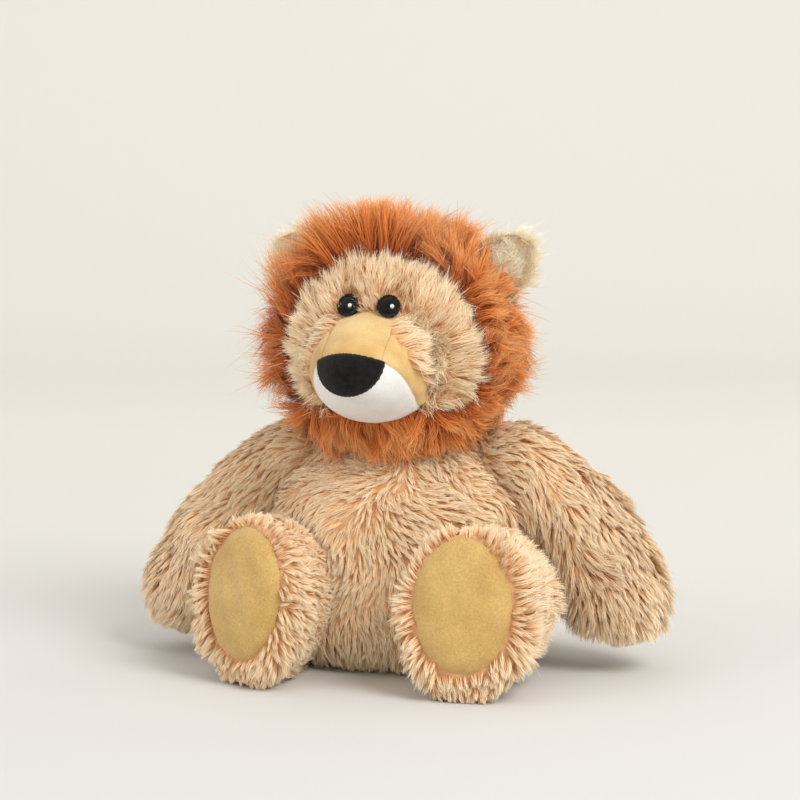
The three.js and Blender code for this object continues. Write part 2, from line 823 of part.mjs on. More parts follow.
const hookBed = flapThickness - stripThickness;
const loopFace = flapThickness + swingGap;
const loopBack = loopFace + stripThickness;
const flap = backLayer(0, flapThickness).intersect(flapBox(0))
  .subtract(backLayer(hookBed - seamGap, flapThickness + joinDepth).intersect(stripBox(seamGap)));
keep('back_flap', flap, cloth(furTan));
keep('hook_strip', backLayer(hookBed, flapThickness).intersect(stripBox(0)), cloth(0xcbb08a, 0.9));
keep('loop_strip', backLayer(loopFace, loopBack).intersect(stripBox(0)), cloth(0xcbb08a, 1));

const flapFloor = flapThickness + flapClearance;
const flapRoom = solid(grown(torsoForm, joinDepth)).subtract(solid(grown(torsoForm, -flapFloor)))
  .intersect(flapBox(swingGap).add(block(
    -flapHalfWidth - swingGap, flapHalfWidth + swingGap,
    flapFront - swingGap, farAway,
    flapTop, flapTop + flapHingeRise / 2,
  )));
const loopBed = backLayer(0, loopBack + seamGap).intersect(stripBox(seamGap));

const torsoCover = torsoSolid
  .intersect(floorLevel)
  .subtract(solid(grown(torsoForm, -bodyPile)))
  .subtract(headSpace)
  .subtract(stopperRoom)
  .subtract(windowSpace)
  .subtract(flapRoom)
  .subtract(loopBed);
keep('torso_cover', torsoCover, cloth(furTan));

// The scene graph: one group for each thing that moves by itself

const group = new THREE.Group();

function addMesh(parent, name, geometry, material) {
  const mesh = new THREE.Mesh(geometry, material);
  mesh.name = name;
  parent.add(mesh);
}

for (const [name, { shape, material }] of parts) {
  addMesh(group, name, meshOf(shape), material);
}
for (const [name, geometry, material] of bottleParts) {
  addMesh(bottleGroup, name, geometry, material);
}
group.add(bottleGroup);

export default group;
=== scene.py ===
# Looks for the seated plush lion with a hot water bottle in its back.
# Lengths are in millimetres until a mesh is made. The lion faces -Y and its own left side is +X.
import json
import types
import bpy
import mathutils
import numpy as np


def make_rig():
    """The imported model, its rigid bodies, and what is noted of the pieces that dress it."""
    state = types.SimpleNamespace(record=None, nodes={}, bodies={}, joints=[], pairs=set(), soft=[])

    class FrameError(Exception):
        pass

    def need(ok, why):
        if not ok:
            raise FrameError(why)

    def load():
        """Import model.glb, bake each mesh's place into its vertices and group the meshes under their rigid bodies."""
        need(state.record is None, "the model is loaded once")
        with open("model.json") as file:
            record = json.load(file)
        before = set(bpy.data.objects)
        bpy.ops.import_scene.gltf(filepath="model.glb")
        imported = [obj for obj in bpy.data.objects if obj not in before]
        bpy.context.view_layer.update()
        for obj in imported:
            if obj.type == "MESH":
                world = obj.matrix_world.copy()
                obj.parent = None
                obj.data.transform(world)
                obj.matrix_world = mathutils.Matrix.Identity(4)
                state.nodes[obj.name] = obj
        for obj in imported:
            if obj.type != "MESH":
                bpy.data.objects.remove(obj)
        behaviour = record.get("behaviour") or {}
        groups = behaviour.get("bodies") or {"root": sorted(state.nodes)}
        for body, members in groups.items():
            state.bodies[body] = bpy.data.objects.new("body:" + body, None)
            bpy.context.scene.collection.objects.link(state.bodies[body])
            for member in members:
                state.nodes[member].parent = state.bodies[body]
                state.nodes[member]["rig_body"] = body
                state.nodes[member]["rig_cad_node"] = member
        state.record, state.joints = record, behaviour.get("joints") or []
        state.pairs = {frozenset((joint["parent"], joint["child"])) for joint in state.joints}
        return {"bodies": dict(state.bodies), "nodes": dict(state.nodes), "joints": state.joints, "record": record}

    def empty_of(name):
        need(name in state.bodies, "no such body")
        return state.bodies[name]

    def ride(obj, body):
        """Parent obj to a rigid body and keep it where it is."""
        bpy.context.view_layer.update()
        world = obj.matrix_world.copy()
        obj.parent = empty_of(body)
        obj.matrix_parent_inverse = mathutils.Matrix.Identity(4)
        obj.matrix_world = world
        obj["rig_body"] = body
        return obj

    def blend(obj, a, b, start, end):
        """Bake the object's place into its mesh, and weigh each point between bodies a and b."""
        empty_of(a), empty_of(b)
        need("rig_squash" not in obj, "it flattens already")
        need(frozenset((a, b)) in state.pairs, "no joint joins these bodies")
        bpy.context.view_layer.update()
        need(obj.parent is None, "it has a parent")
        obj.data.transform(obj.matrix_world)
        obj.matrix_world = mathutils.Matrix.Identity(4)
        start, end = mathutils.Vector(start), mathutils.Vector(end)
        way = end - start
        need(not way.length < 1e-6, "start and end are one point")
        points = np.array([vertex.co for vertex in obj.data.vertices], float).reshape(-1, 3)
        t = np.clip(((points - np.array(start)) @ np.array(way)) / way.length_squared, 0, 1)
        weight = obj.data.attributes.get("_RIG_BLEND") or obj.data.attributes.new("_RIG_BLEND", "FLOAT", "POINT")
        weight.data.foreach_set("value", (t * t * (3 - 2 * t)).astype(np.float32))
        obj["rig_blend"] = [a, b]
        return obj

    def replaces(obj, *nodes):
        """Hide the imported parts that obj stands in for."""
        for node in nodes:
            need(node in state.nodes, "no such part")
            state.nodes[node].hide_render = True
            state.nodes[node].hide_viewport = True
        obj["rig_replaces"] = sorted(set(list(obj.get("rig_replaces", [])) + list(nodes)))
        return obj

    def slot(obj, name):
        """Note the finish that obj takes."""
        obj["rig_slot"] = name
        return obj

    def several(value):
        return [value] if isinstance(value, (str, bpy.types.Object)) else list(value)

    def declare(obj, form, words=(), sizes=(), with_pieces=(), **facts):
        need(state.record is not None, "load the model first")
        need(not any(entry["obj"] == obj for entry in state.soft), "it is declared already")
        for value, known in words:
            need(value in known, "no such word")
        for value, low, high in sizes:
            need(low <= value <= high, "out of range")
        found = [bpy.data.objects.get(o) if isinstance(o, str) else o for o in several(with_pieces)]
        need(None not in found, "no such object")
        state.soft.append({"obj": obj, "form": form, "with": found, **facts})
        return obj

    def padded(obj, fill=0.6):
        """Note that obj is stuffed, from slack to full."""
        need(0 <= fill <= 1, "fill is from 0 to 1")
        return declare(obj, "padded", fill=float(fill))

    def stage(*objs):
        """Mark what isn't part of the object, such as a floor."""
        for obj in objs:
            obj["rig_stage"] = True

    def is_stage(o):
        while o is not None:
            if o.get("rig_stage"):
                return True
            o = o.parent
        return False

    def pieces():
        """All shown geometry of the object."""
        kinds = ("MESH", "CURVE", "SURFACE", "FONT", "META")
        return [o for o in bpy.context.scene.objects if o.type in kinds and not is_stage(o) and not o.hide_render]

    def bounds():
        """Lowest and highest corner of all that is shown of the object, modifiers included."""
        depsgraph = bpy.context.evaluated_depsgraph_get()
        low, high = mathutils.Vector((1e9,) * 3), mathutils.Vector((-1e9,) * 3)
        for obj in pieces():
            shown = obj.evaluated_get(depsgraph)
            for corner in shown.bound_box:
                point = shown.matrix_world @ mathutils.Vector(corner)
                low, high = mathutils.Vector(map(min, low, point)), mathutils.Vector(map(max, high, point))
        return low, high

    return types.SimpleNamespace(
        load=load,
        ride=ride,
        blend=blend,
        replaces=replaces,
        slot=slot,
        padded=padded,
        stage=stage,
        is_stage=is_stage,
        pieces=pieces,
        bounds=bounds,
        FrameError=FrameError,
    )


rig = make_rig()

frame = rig.load()

import json
import math

import bmesh
import bpy
import numpy as np
from mathutils import Vector
from mathutils.bvhtree import BVHTree
from mathutils.kdtree import KDTree

cad_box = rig.bounds()

MM = 0.001
MAP = "OFBake"  # the UV map that a strand's colour is read from: tone across, root to tip along
MOST_STRANDS = 27000  # in one piece

# Sizes shared with the solids

TORSO_HEIGHT = 152
HEAD_CENTRE = np.array([0.0, -16.0, 178.0])
HEAD_HALF = (54, 50, 50)  # of the stuffed core, without pile
FACE_EDGE = HEAD_CENTRE[1] - 26  # where the face meets the mane
MUZZLE_AXIS = 172
MUZZLE_TIP = -112
BRIDGE_HALF = 17.5
NOSE_HALF, NOSE_TOP, NOSE_SHOULDER, NOSE_BOTTOM, NOSE_CORNER = 18.2, 10.5, 6, -11.5, -4.8
CHIN_HALF, CHIN_UNDER = 28, 23.6
MUZZLE_HALF_WIDTH, MUZZLE_HALF_HEIGHT = 35, 30.5
EYE_SPACING, EYE_RISE, EYE_RADIUS = 23.5, 28, 6.3
EAR_OUT, EAR_UP, EAR_BACK, EAR_HALF_LENGTH = 54, 45, 10, 28
FACE_BOTTOM = 148  # under this the mane goes round in front
LEG_HEIGHT, SOLE_HEIGHT = 45.3, 48.2  # of the leg's middle line, at the hip and at the sole
PAD_RISE = 3  # of the pad's middle over the sole's
HIP_OUT = 62
FOOT_FORWARD = 117
SOLE_RECESS = 4
PAD_HALF_WIDTH, PAD_HALF_HEIGHT = 26.5, 36
FLAP_HALF, FLAP_BOTTOM, FLAP_TOP, FLAP_FRONT = 50, 28, 114, 40
FLAP_THICKNESS = 6
FLAP_SEAM = 121  # where its cloth ends, over the hinge
WINDOW_LEDGE = 8
BOTTLE_BACK, BOTTLE_BASE = 27, 13.9
BOTTLE_WIDTH, BOTTLE_THICKNESS, BOTTLE_HEIGHT = 80, 28, 72
NECK_RADIUS, NECK_LENGTH = 11, 10
NECK_BORE = 8.8

# Depths and limits of the cloth and the pile

SKIN = 7  # under the mean height of the body pile
FLAP_SKIN = 4.4
FLOOR = 0.4  # no pile goes lower than this
CLOTH_FLOOR = 2.2  # no cloth under pile goes lower than this
MANE_TOP = 256  # over this the loose tips of the mane lie closer
MANE_BOTTOM = 118
WINDOW_FRONT, SEAM_FRONT = 20, 30  # only the torso's back beyond these has the window and the seam


# Stuffed forms, as the solids have them

ENDS = dict(round_start=0.5, round_end=0.5, full_start=2.0, full_end=2.0, square=2.0)


def form(spine, side, across, through, **ends):
    """A curved spine with half sizes across and through it at its start, middle and end. The round parts are
    shares of its length, and higher powers full and square make its ends and sections squarer."""
    return dict(ENDS, spine=np.array(spine, float), side=np.array(side, float), across=across,
                through=through, **ends)


def taper(t, sizes):
    start, middle, end = sizes
    return start * (2 * t - 1) * (t - 1) + middle * 4 * t * (1 - t) + end * t * (2 * t - 1)


def opening(t, length, full):
    missing = np.clip((length - t) / length, 0, 1)
    return (1 - missing ** full) ** (1 / full)


def unit(vectors):
    size = np.linalg.norm(vectors, axis=-1, keepdims=True)
    return vectors / np.maximum(size, 1e-9)


def form_points(f, t, angle):
    """Points of a form's surface, and the direction of its spine there."""
    start, through, end = f["spine"]
    t = t[:, None]
    centre = (1 - t) ** 2 * start + 2 * t * (1 - t) * through + t ** 2 * end
    along = unit(2 * (1 - t) * (through - start) + 2 * t * (end - through))
    sideways = unit(f["side"] - along * (along @ f["side"])[:, None])
    square = np.cross(along, sideways)
    t = t[:, 0]
    opened = opening(t, f["round_start"], f["full_start"]) * opening(1 - t, f["round_end"], f["full_end"])
    c, s = np.cos(angle), np.sin(angle)
    reach = (np.abs(c) ** f["square"] + np.abs(s) ** f["square"]) ** (-1 / f["square"])
    out = (opened * taper(t, f["across"]) * reach * c)[:, None] * sideways
    out += (opened * taper(t, f["through"]) * reach * s)[:, None] * square
    return centre + out, along


def form_surface(f, rings, sides):
    """A fine triangle mesh of a form: points, the spine's direction at each, and triangles."""
    station = (1 - np.cos(np.pi * np.arange(rings + 1) / rings)) / 2
    angle = 2 * np.pi * np.arange(sides) / sides
    t, a = np.meshgrid(station[1:-1], angle, indexing="ij")
    body, body_along = form_points(f, t.ravel(), a.ravel())
    tips, tips_along = form_points(f, np.array([0.0, 1.0]), np.zeros(2))
    points = np.vstack([tips[:1], body, tips[1:]])
    along = np.vstack([tips_along[:1], body_along, tips_along[1:]])
    ring = 1 + np.arange((rings - 1) * sides).reshape(rings - 1, sides)
    beside = np.roll(ring, -1, axis=1)
    tip = np.full(sides, len(points) - 1)
    tris = [np.stack([0 * tip, beside[0], ring[0]], 1), np.stack([tip, ring[-1], beside[-1]], 1)]
    for low, low_beside, high, high_beside in zip(ring, beside, ring[1:], beside[1:]):
        tris += [np.stack([low, low_beside, high_beside], 1), np.stack([low, high_beside, high], 1)]
    return points, along, np.vstack(tris)


def vertex_normals(points, tris):
    a, b, c = (points[tris[:, i]] for i in range(3))
    face = np.cross(b - a, c - a)
    normal = np.zeros_like(points)
    for i in range(3):
        np.add.at(normal, tris[:, i], face)
    return unit(normal)


def sunk(points, normals, depth):
    """Moves a skin inward. Where it faces the floor it moves sideways only, so that it stays seated."""
    way = normals.copy()
    way[:, 2] = np.maximum(way[:, 2], 0)
    moved = points - depth * way
    moved[:, 2] = np.maximum(moved[:, 2], CLOTH_FLOOR)
    return moved


class Skin:
    """A fine surface under the pile, with its normals and a direction carried along."""

    def __init__(self, f, depth, rings=64, sides=80):
        points, along, tris = form_surface(f, rings, sides)
        normals = vertex_normals(points, tris)
        self.points = sunk(points, normals, depth)
        self.normals = vertex_normals(self.points, tris)
        self.along = along
        self.tris = tris
        self.tree = BVHTree.FromPolygons(self.points.tolist(), tris.tolist())

    def depth_of(self, points):
        """How deep points lie inside the skin, negative outside."""
        depth = []
        for p in map(Vector, points.tolist()):
            near, normal, _, distance = self.tree.find_nearest(p)
            depth.append(distance if (p - near).dot(normal) < 0 else -distance)
        return np.array(depth)


ARM_ROUND = dict(round_start=0.25, round_end=0.28, full_end=2.4)
FORMS = {
    "torso": form([(0, 0, -0.5), (0, 0, TORSO_HEIGHT / 2), (0, 2, TORSO_HEIGHT - 0.5)], (1, 0, 0),
                  (80, 84, 50), (68, 71, 44), round_start=0.3, full_start=4, round_end=0.45, square=2.5),
    "arm_left": form([(32, 0, 124), (106, 0, 112), (134, -2, 17)], (0, 1, 0),
                     (30, 33, 33), (26, 29, 31), **ARM_ROUND),
    "arm_right": form([(-32, 0, 124), (-106, 0, 112), (-134, -26, 12)], (0, 1, 0),
                      (30, 33, 33), (26, 29, 31), **ARM_ROUND),
    "muzzle": form([(0, -46, MUZZLE_AXIS), (0, -66, MUZZLE_AXIS), (0, MUZZLE_TIP, MUZZLE_AXIS)], (1, 0, 0),
                   (35, 35, 27), (30.5, 30.5, 24), round_start=0.2, round_end=0.75, square=2.1),
    "bottle": form([(0, BOTTLE_BACK, BOTTLE_BASE), (0, BOTTLE_BACK, BOTTLE_BASE + BOTTLE_HEIGHT / 2),
                    (0, BOTTLE_BACK, BOTTLE_BASE + BOTTLE_HEIGHT + 1)], (1, 0, 0),
                   (BOTTLE_WIDTH / 2, BOTTLE_WIDTH / 2, BOTTLE_WIDTH / 2 - 2), (BOTTLE_THICKNESS / 2,) * 3,
                   round_start=0.2, full_start=2.6, round_end=0.32, square=2.8),
    "tail": form([(0, 51, 17), (-14, 95, 6.5), (-40, 108, 6)], (1, 0, 0),
                 (6.5, 6.5, 6.5), (6.5, 6.5, 6.5), round_start=0.1, round_end=0.08),
    "tail_tuft": form([(-33.5, 108, 12.5), (-58, 108, 12.5), (-76, 101.5, 12.5)], (0, 1, 0),
                      (10.5, 13, 8), (10.5, 13, 8)),
}
LEG_POSE = {"leg_left": (1, 66, 0.12), "leg_right": (-1, 62, 0.44)}  # side, sole's place, splay
SOLE_RUN = 34
for name, (sign, sole_out, splay) in LEG_POSE.items():
    knee = (sign * (sole_out - SOLE_RUN * math.sin(splay)),
            -FOOT_FORWARD + SOLE_RUN * math.cos(splay), LEG_HEIGHT)
    spine = [(sign * HIP_OUT, -12, LEG_HEIGHT), knee, (sign * sole_out, -FOOT_FORWARD, SOLE_HEIGHT)]
    FORMS[name] = form(spine, (1, 0, 0), (38, 38, 40), (44, 47, 50),
                       round_start=0.3, round_end=0.2, full_end=2.6)


def head_form(pile):
    """The head with a pile of that height on it."""
    wide, deep, high = (half + pile for half in HEAD_HALF)
    spine = [HEAD_CENTRE - (0, 0, high), HEAD_CENTRE, HEAD_CENTRE + (0, 0, high)]
    return form(spine, (1, 0, 0), (wide,) * 3, (deep,) * 3)


EARS = {"ear_left": 1, "ear_right": -1}
for name, sign in EARS.items():
    lean = unit(np.array([sign * EAR_OUT, 0.0, EAR_UP]))
    middle = HEAD_CENTRE + (sign * EAR_OUT, EAR_BACK, EAR_UP)
    FORMS[name] = form([middle - lean * EAR_HALF_LENGTH, middle, middle + lean * EAR_HALF_LENGTH],
                       (0, 1, 0), (8,) * 3, (20,) * 3, round_start=0.4)


# Meshes

def colour(red, green, blue):
    """A linear colour from the 0 to 255 values that a picture shows."""
    def linear(v):
        v /= 255
        return v / 12.92 if v <= 0.04045 else ((v + 0.055) / 1.055) ** 2.4
    return linear(red), linear(green), linear(blue), 1.0


def placed(name, data):
    """A new object in the scene."""
    made = bpy.data.objects.new(name, data)
    bpy.context.scene.collection.objects.link(made)
    return made


def joined(piece, body, slot, replaced=None, bend=None):
    """Gives a piece its slot, its solid and its body. With bend it joins that body to the torso."""
    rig.slot(piece, slot)
    if replaced:
        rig.replaces(piece, replaced)
    if bend:
        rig.blend(piece, "torso", body, *[tuple(v * MM for v in place) for place in bend])
    else:
        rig.ride(piece, body)
    return piece


def mesh_piece(name, points, faces, body, slot, material, replaced=None, bend=None):
    """A piece from points in millimetres and faces of three or four corners."""
    mesh = bpy.data.meshes.new(name)
    mesh.from_pydata((np.asarray(points) * MM).tolist(), [], [list(map(int, face)) for face in faces])
    mesh.polygons.foreach_set("use_smooth", [True] * len(mesh.polygons))
    mesh.materials.append(material)
    mesh.update()
    return joined(placed(name, mesh), body, slot, replaced, bend)


def band(low, high, sides):
    """Faces between two rings of points, from the numbers of their first points."""
    return [(low + k, high + k, high + (k + 1) % sides, low + (k + 1) % sides) for k in range(sides)]


def clipped(points, tris, values):
    """The part of a triangle mesh where the values at its points are above zero."""
    inside = values > 0
    count = inside[tris].sum(1)
    kept = tris[count == 3].tolist()
    points = points.tolist()
    cuts = {}

    def cut(a, b):
        key = (min(a, b), max(a, b))
        if key not in cuts:
            share = values[a] / (values[a] - values[b])
            points.append([p + share * (q - p) for p, q in zip(points[a], points[b])])
            cuts[key] = len(points) - 1
        return cuts[key]

    for a, b, c in tris[(count == 1) | (count == 2)].tolist():
        while inside[b] != inside[c]:
            a, b, c = b, c, a
        ab, ac = cut(a, b), cut(a, c)
        if inside[a]:
            kept.append([a, ab, ac])
        else:
            kept += [[ab, b, c], [ab, c, ac]]
    used, index = np.unique(np.array(kept), return_inverse=True)
    return np.array(points)[used], index.reshape(-1, 3)


def outline_distance(x, z, outline):
    """Distance in the front view to a closed outline, positive inside it."""
    a = np.array(outline)
    b = np.roll(a, -1, axis=0)
    p = np.stack([x, z], 1)
    best = np.full(len(p), np.inf)
    inside = np.zeros(len(p), bool)
    for (ax, az), (bx, bz) in zip(a, b):
        edge = np.array([bx - ax, bz - az])
        share = np.clip(((p - (ax, az)) @ edge) / max(edge @ edge, 1e-9), 0, 1)
        best = np.minimum(best, np.linalg.norm(p - (ax, az) - share[:, None] * edge, axis=1))
        crosses = (az > z) != (bz > z)
        with np.errstate(divide="ignore", invalid="ignore"):
            inside ^= crosses & (x < (bx - ax) * (z - az) / (bz - az) + ax)
    return np.where(inside, best, -best)


def curve_points(corners, steps=14):
    """Points of a Bezier curve, without its last point."""
    t = (np.arange(steps) / steps)[:, None]
    top = len(corners) - 1
    return sum(math.comb(top, i) * t ** i * (1 - t) ** (top - i) * np.array(corner, float)
               for i, corner in enumerate(corners)).tolist()


# Smooth random fields

def field(seed, wavelength):
    """A smooth random function of position, about -1 to 1."""
    waves = 5
    rng = np.random.default_rng(seed)
    ways = unit(rng.normal(size=(waves, 3))) * (2 * np.pi / wavelength)
    ways *= rng.uniform(0.6, 1.5, (waves, 1))
    phase = rng.uniform(0, 2 * np.pi, waves)
    return lambda points: np.sin(points @ ways.T + phase).sum(1) / math.sqrt(waves)


# Pile

TRIES = 5  # for each place that a strand may stand on
CLOSEST = 0.82  # of the spacing between two places


def tree_of(points):
    tree = KDTree(len(points))
    for i, p in enumerate(points.tolist()):
        tree.insert(p, i)
    tree.balance()
    return tree


def thinned(points, order, reach):
    """The places that are left when, in that order, each clears the others within its reach."""
    tree = tree_of(points)
    free = np.ones(len(points), bool)
    chosen = []
    for i in order:
        if free[i]:
            chosen.append(int(i))
            for _, j, _ in tree.find_range(points[i], reach):
                free[j] = False
    return chosen


def spread_roots(skin, spacing, keep, seed):
    """Evenly spread places on a skin where keep allows them: points, normals and spine directions."""
    rng = np.random.default_rng(seed)
    a, b, c = (skin.points[skin.tris[:, i]] for i in range(3))
    area = np.linalg.norm(np.cross(b - a, c - a), axis=1) / 2
    count = int(area.sum() / spacing ** 2 * TRIES)
    pick = rng.choice(len(area), count, p=area / area.sum())
    u, v = rng.uniform(size=(2, count))
    flip = u + v > 1
    u[flip], v[flip] = 1 - u[flip], 1 - v[flip]
    share = np.stack([1 - u - v, u, v], 1)[:, :, None]
    corners = skin.tris[pick]
    points = (skin.points[corners] * share).sum(1)
    normals = unit((skin.normals[corners] * share).sum(1))
    along = unit((skin.along[corners] * share).sum(1))
    wanted = keep(points)
    points, normals, along = points[wanted], normals[wanted], along[wanted]
    chosen = thinned(points, range(len(points)), spacing * CLOSEST)
    return points[chosen], normals[chosen], along[chosen]


STATIONS = np.array([0.0, 0.3, 0.58, 0.82, 1.0])  # along a strand
TAPER = np.array([1.0, 0.95, 0.8, 0.55, 0.0])  # its width there


def leaders(points, spacing, seed):
    """For each place, the nearest of some widely spread places among them."""
    chosen = thinned(points, np.random.default_rng(seed).permutation(len(points)), spacing)
    heads = tree_of(points[chosen])
    return np.array([chosen[heads.find(p)[1]] for p in points.tolist()])


def bent(start, begin, finish, length, s):
    """Where a strand is at the share s of its length, when it leaves one way and ends another."""
    return start + length * (begin * s + (finish - begin) * s * s / 2)


def strands(points, normals, flow, length, lift, seed, per_lock, spread, gather, width, droop=0.0,
            wave=0.5, tone=0.5, tip_lift=None, stray=0.1, loose=0.05, tuft=None, pull=0.6):
    """Locks of tapered strands. Each lock has its own root place, normal, flow, length and lift.
    With tuft, the locks within that distance lean together, by the share pull at their tips.
    Returns the strands' points, and the tone of each strand."""
    rng = np.random.default_rng(seed)
    n, m = len(points), per_lock
    lift, length, droop = (np.broadcast_to(v, n).astype(float) for v in (lift, length, droop))
    tip_lift = lift - 0.35 if tip_lift is None else np.broadcast_to(tip_lift, n)
    tone = np.broadcast_to(tone, n)
    across = np.cross(normals, flow)

    def way(angle):
        return normals * np.sin(angle)[:, None] + flow * np.cos(angle)[:, None]

    start_way = way(lift)
    end_way = unit(way(tip_lift) - droop[:, None] * np.array([0, 0, 1.0]))
    if tuft:
        lead = leaders(points, tuft, seed)
        start_way = unit(start_way + pull * start_way[lead])
        end_way = unit(end_way + 2 * pull * end_way[lead])
    middles = []
    phase = rng.uniform(0, 2 * np.pi, (n, 1))
    for s in STATIONS:
        middle = bent(points, start_way, end_way, length[:, None], s)
        if tuft:
            led = bent(points[lead], start_way[lead], end_way[lead], length[lead, None], s)
            middle = middle + (led - middle) * pull * s ** 1.6
        middles.append(middle + across * (wave * np.sin(phase + 3.2 * s) * s))
    radius = spread * np.sqrt(rng.uniform(size=(n, m)))
    turn = rng.uniform(0, 2 * np.pi, (n, m))
    offset = (radius * np.cos(turn))[..., None] * flow[:, None]
    offset = offset + (radius * np.sin(turn))[..., None] * across[:, None]
    root = offset - 0.9 * normals[:, None]
    size = rng.uniform(0.84, 1.03, (n, m, 1))
    is_loose = rng.uniform(size=(n, m)) < loose
    astray = rng.normal(scale=stray, size=(n, m, 3)) * np.where(is_loose, 3.0, 1.0)[..., None]
    gathered = np.where(is_loose, 0.1, gather * rng.uniform(0.75, 1.1, (n, m)))[..., None]
    paths = []
    for s, middle in zip(STATIONS, middles):
        swerve = astray * length[:, None, None] * s * s
        along = points[:, None] + (middle - points)[:, None] * size
        paths.append(along + root * (1 - gathered * s ** 1.15) + swerve)
    path = np.stack(paths, 2).reshape(n * m, len(STATIONS), 3)
    heading = unit(np.gradient(path, axis=1))
    facing = np.repeat(normals, m, 0)[:, None]
    side = unit(np.cross(heading, facing + rng.normal(scale=0.35, size=(n * m, 1, 3))))
    wide = width * rng.uniform(0.75, 1.2, (n * m, 1)) * TAPER / 2
    left, right = path - side * wide[..., None], path + side * wide[..., None]
    corners = np.concatenate([np.stack([left[:, :4], right[:, :4]], 2).reshape(n * m, 8, 3), path[:, 4:]], 1)
    corners[..., 2] = np.maximum(corners[..., 2], FLOOR)
    tones = np.clip(np.repeat(tone, m) + rng.normal(scale=0.13, size=n * m), 0.03, 0.97)
    return corners, tones


# A strand has a pair of corners at each of its first four stations and one at its tip
CORNERS, FACES, FACE_CORNERS = 9, 4, 15
STRAND_QUADS = np.array([[0, 1, 3, 2], [2, 3, 5, 4], [4, 5, 7, 6]])
STRAND_TIP = np.array([6, 7, 8])
MAP_ACROSS = np.array([-1, 1] * 4 + [0]) * 0.008
MAP_ALONG = 0.02 + 0.96 * np.repeat(STATIONS, 2)[:CORNERS]


def fur_piece(name, grown, body, slot, material, bend=None):
    """Makes pieces from grown strands, as many as their number needs."""
    corners = np.concatenate([c for c, _ in grown])
    tones = np.concatenate([t for _, t in grown])
    order = np.argsort(corners[:, 0, 2], kind="stable")
    for part, chosen in enumerate(np.array_split(order, math.ceil(len(corners) / MOST_STRANDS))):
        n = len(chosen)
        first = CORNERS * np.arange(n)[:, None]
        used = np.concatenate([(first[:, None] + STRAND_QUADS).ravel(), (first + STRAND_TIP).ravel()])
        starts = np.concatenate([np.arange(3 * n) * 4, 12 * n + np.arange(n) * 3])
        mesh = bpy.data.meshes.new(f"{name}_{part + 1}")
        mesh.vertices.add(CORNERS * n)
        mesh.vertices.foreach_set("co", (corners[chosen] * MM).ravel().astype(np.float32))
        mesh.loops.add(FACE_CORNERS * n)
        mesh.loops.foreach_set("vertex_index", used.astype(np.int32))
        mesh.polygons.add(FACES * n)
        mesh.polygons.foreach_set("loop_start", starts.astype(np.int32))
        mesh.polygons.foreach_set("use_smooth", np.ones(FACES * n, bool))
        uv = np.stack([tones[chosen][:, None] + MAP_ACROSS, np.broadcast_to(MAP_ALONG, (n, CORNERS))], 2)
        layer = mesh.uv_layers.new(name=MAP)
        layer.data.foreach_set("uv", uv.reshape(-1, 2)[used].ravel().astype(np.float32))
        mesh.materials.append(material)
        mesh.update(calc_edges=True)
        joined(placed(mesh.name, mesh), body, slot, bend=bend)


# Materials

def new_material(name, roughness, specular, sheen=0.0):
    material = bpy.data.materials.new(name)
    material.use_nodes = True
    shader = material.node_tree.nodes["Principled BSDF"]
    shader.inputs["Roughness"].default_value = roughness
    shader.inputs["Specular IOR Level"].default_value = specular
    shader.inputs["Sheen Weight"].default_value = sheen
    return material, material.node_tree, shader


def node(tree, kind, feeds=(), values=()):
    """A new node, with some inputs fed from sockets and some set to values."""
    made = tree.nodes.new("ShaderNode" + kind)
    for socket, source in dict(feeds).items():
        tree.links.new(source, made.inputs[socket])
    for socket, value in dict(values).items():
        made.inputs[socket].default_value = value
    return made


def own_place(tree):
    return node(tree, "TexCoord").outputs["Object"]


def ramp(tree, factor, stops):
    made = node(tree, "ValToRGB", {"Fac": factor})
    elements = made.color_ramp.elements
    while len(elements) < len(stops):
        elements.new(0.5)
    for element, (place, value) in zip(elements, stops):
        element.position, element.color = place, value
    return made.outputs["Color"]


def multiplied(tree, first, second):
    mix = tree.nodes.new("ShaderNodeMix")
    mix.data_type, mix.blend_type = "RGBA", "MULTIPLY"
    mix.inputs["Factor"].default_value = 1.0
    tree.links.new(first, mix.inputs[6])
    tree.links.new(second, mix.inputs[7])
    return mix.outputs[2]


def noise(tree, place, scale, detail, roughness=0.55):
    values = {"Scale": scale, "Detail": detail, "Roughness": roughness}
    return node(tree, "TexNoise", {"Vector": place}, values).outputs["Fac"]


def pile_material(name, along, tones):
    """Strands: along gives the colours from root to tip, and tones what each strand multiplies them by."""
    material, tree, shader = new_material(name, 0.75, 0.15, sheen=0.3)
    place = tree.nodes.new("ShaderNodeUVMap")
    place.uv_map = MAP
    split = node(tree, "SeparateXYZ", {"Vector": place.outputs["UV"]}).outputs
    length = ramp(tree, split["Y"], [(at, colour(*value)) for at, *value in along])
    strand = ramp(tree, split["X"], [(at, (*value, 1)) for at, *value in tones])
    tree.links.new(multiplied(tree, length, strand), shader.inputs["Base Color"])
    return material


def cloth_material(name, dark, light, scale, bump=0.3, grain=900, roughness=0.9, sheen=0.3, tiny=2600):
    """Short pile or cloth: mottled between two colours, with a fine grain."""
    material, tree, shader = new_material(name, roughness, 0.15, sheen)
    place = own_place(tree)
    mottled = ramp(tree, noise(tree, place, scale, 6), [(0.35, colour(*dark)), (0.65, colour(*light))])
    speckle = ramp(tree, noise(tree, place, tiny, 2), [(0.3, (0.78, 0.78, 0.78, 1)), (0.7, (1, 1, 1, 1))])
    tree.links.new(multiplied(tree, mottled, speckle), shader.inputs["Base Color"])
    nap = noise(tree, place, grain, 4, roughness=0.7)
    relief = node(tree, "Bump", {"Height": nap}, {"Strength": bump, "Distance": 0.0006})
    tree.links.new(relief.outputs["Normal"], shader.inputs["Normal"])
    return material


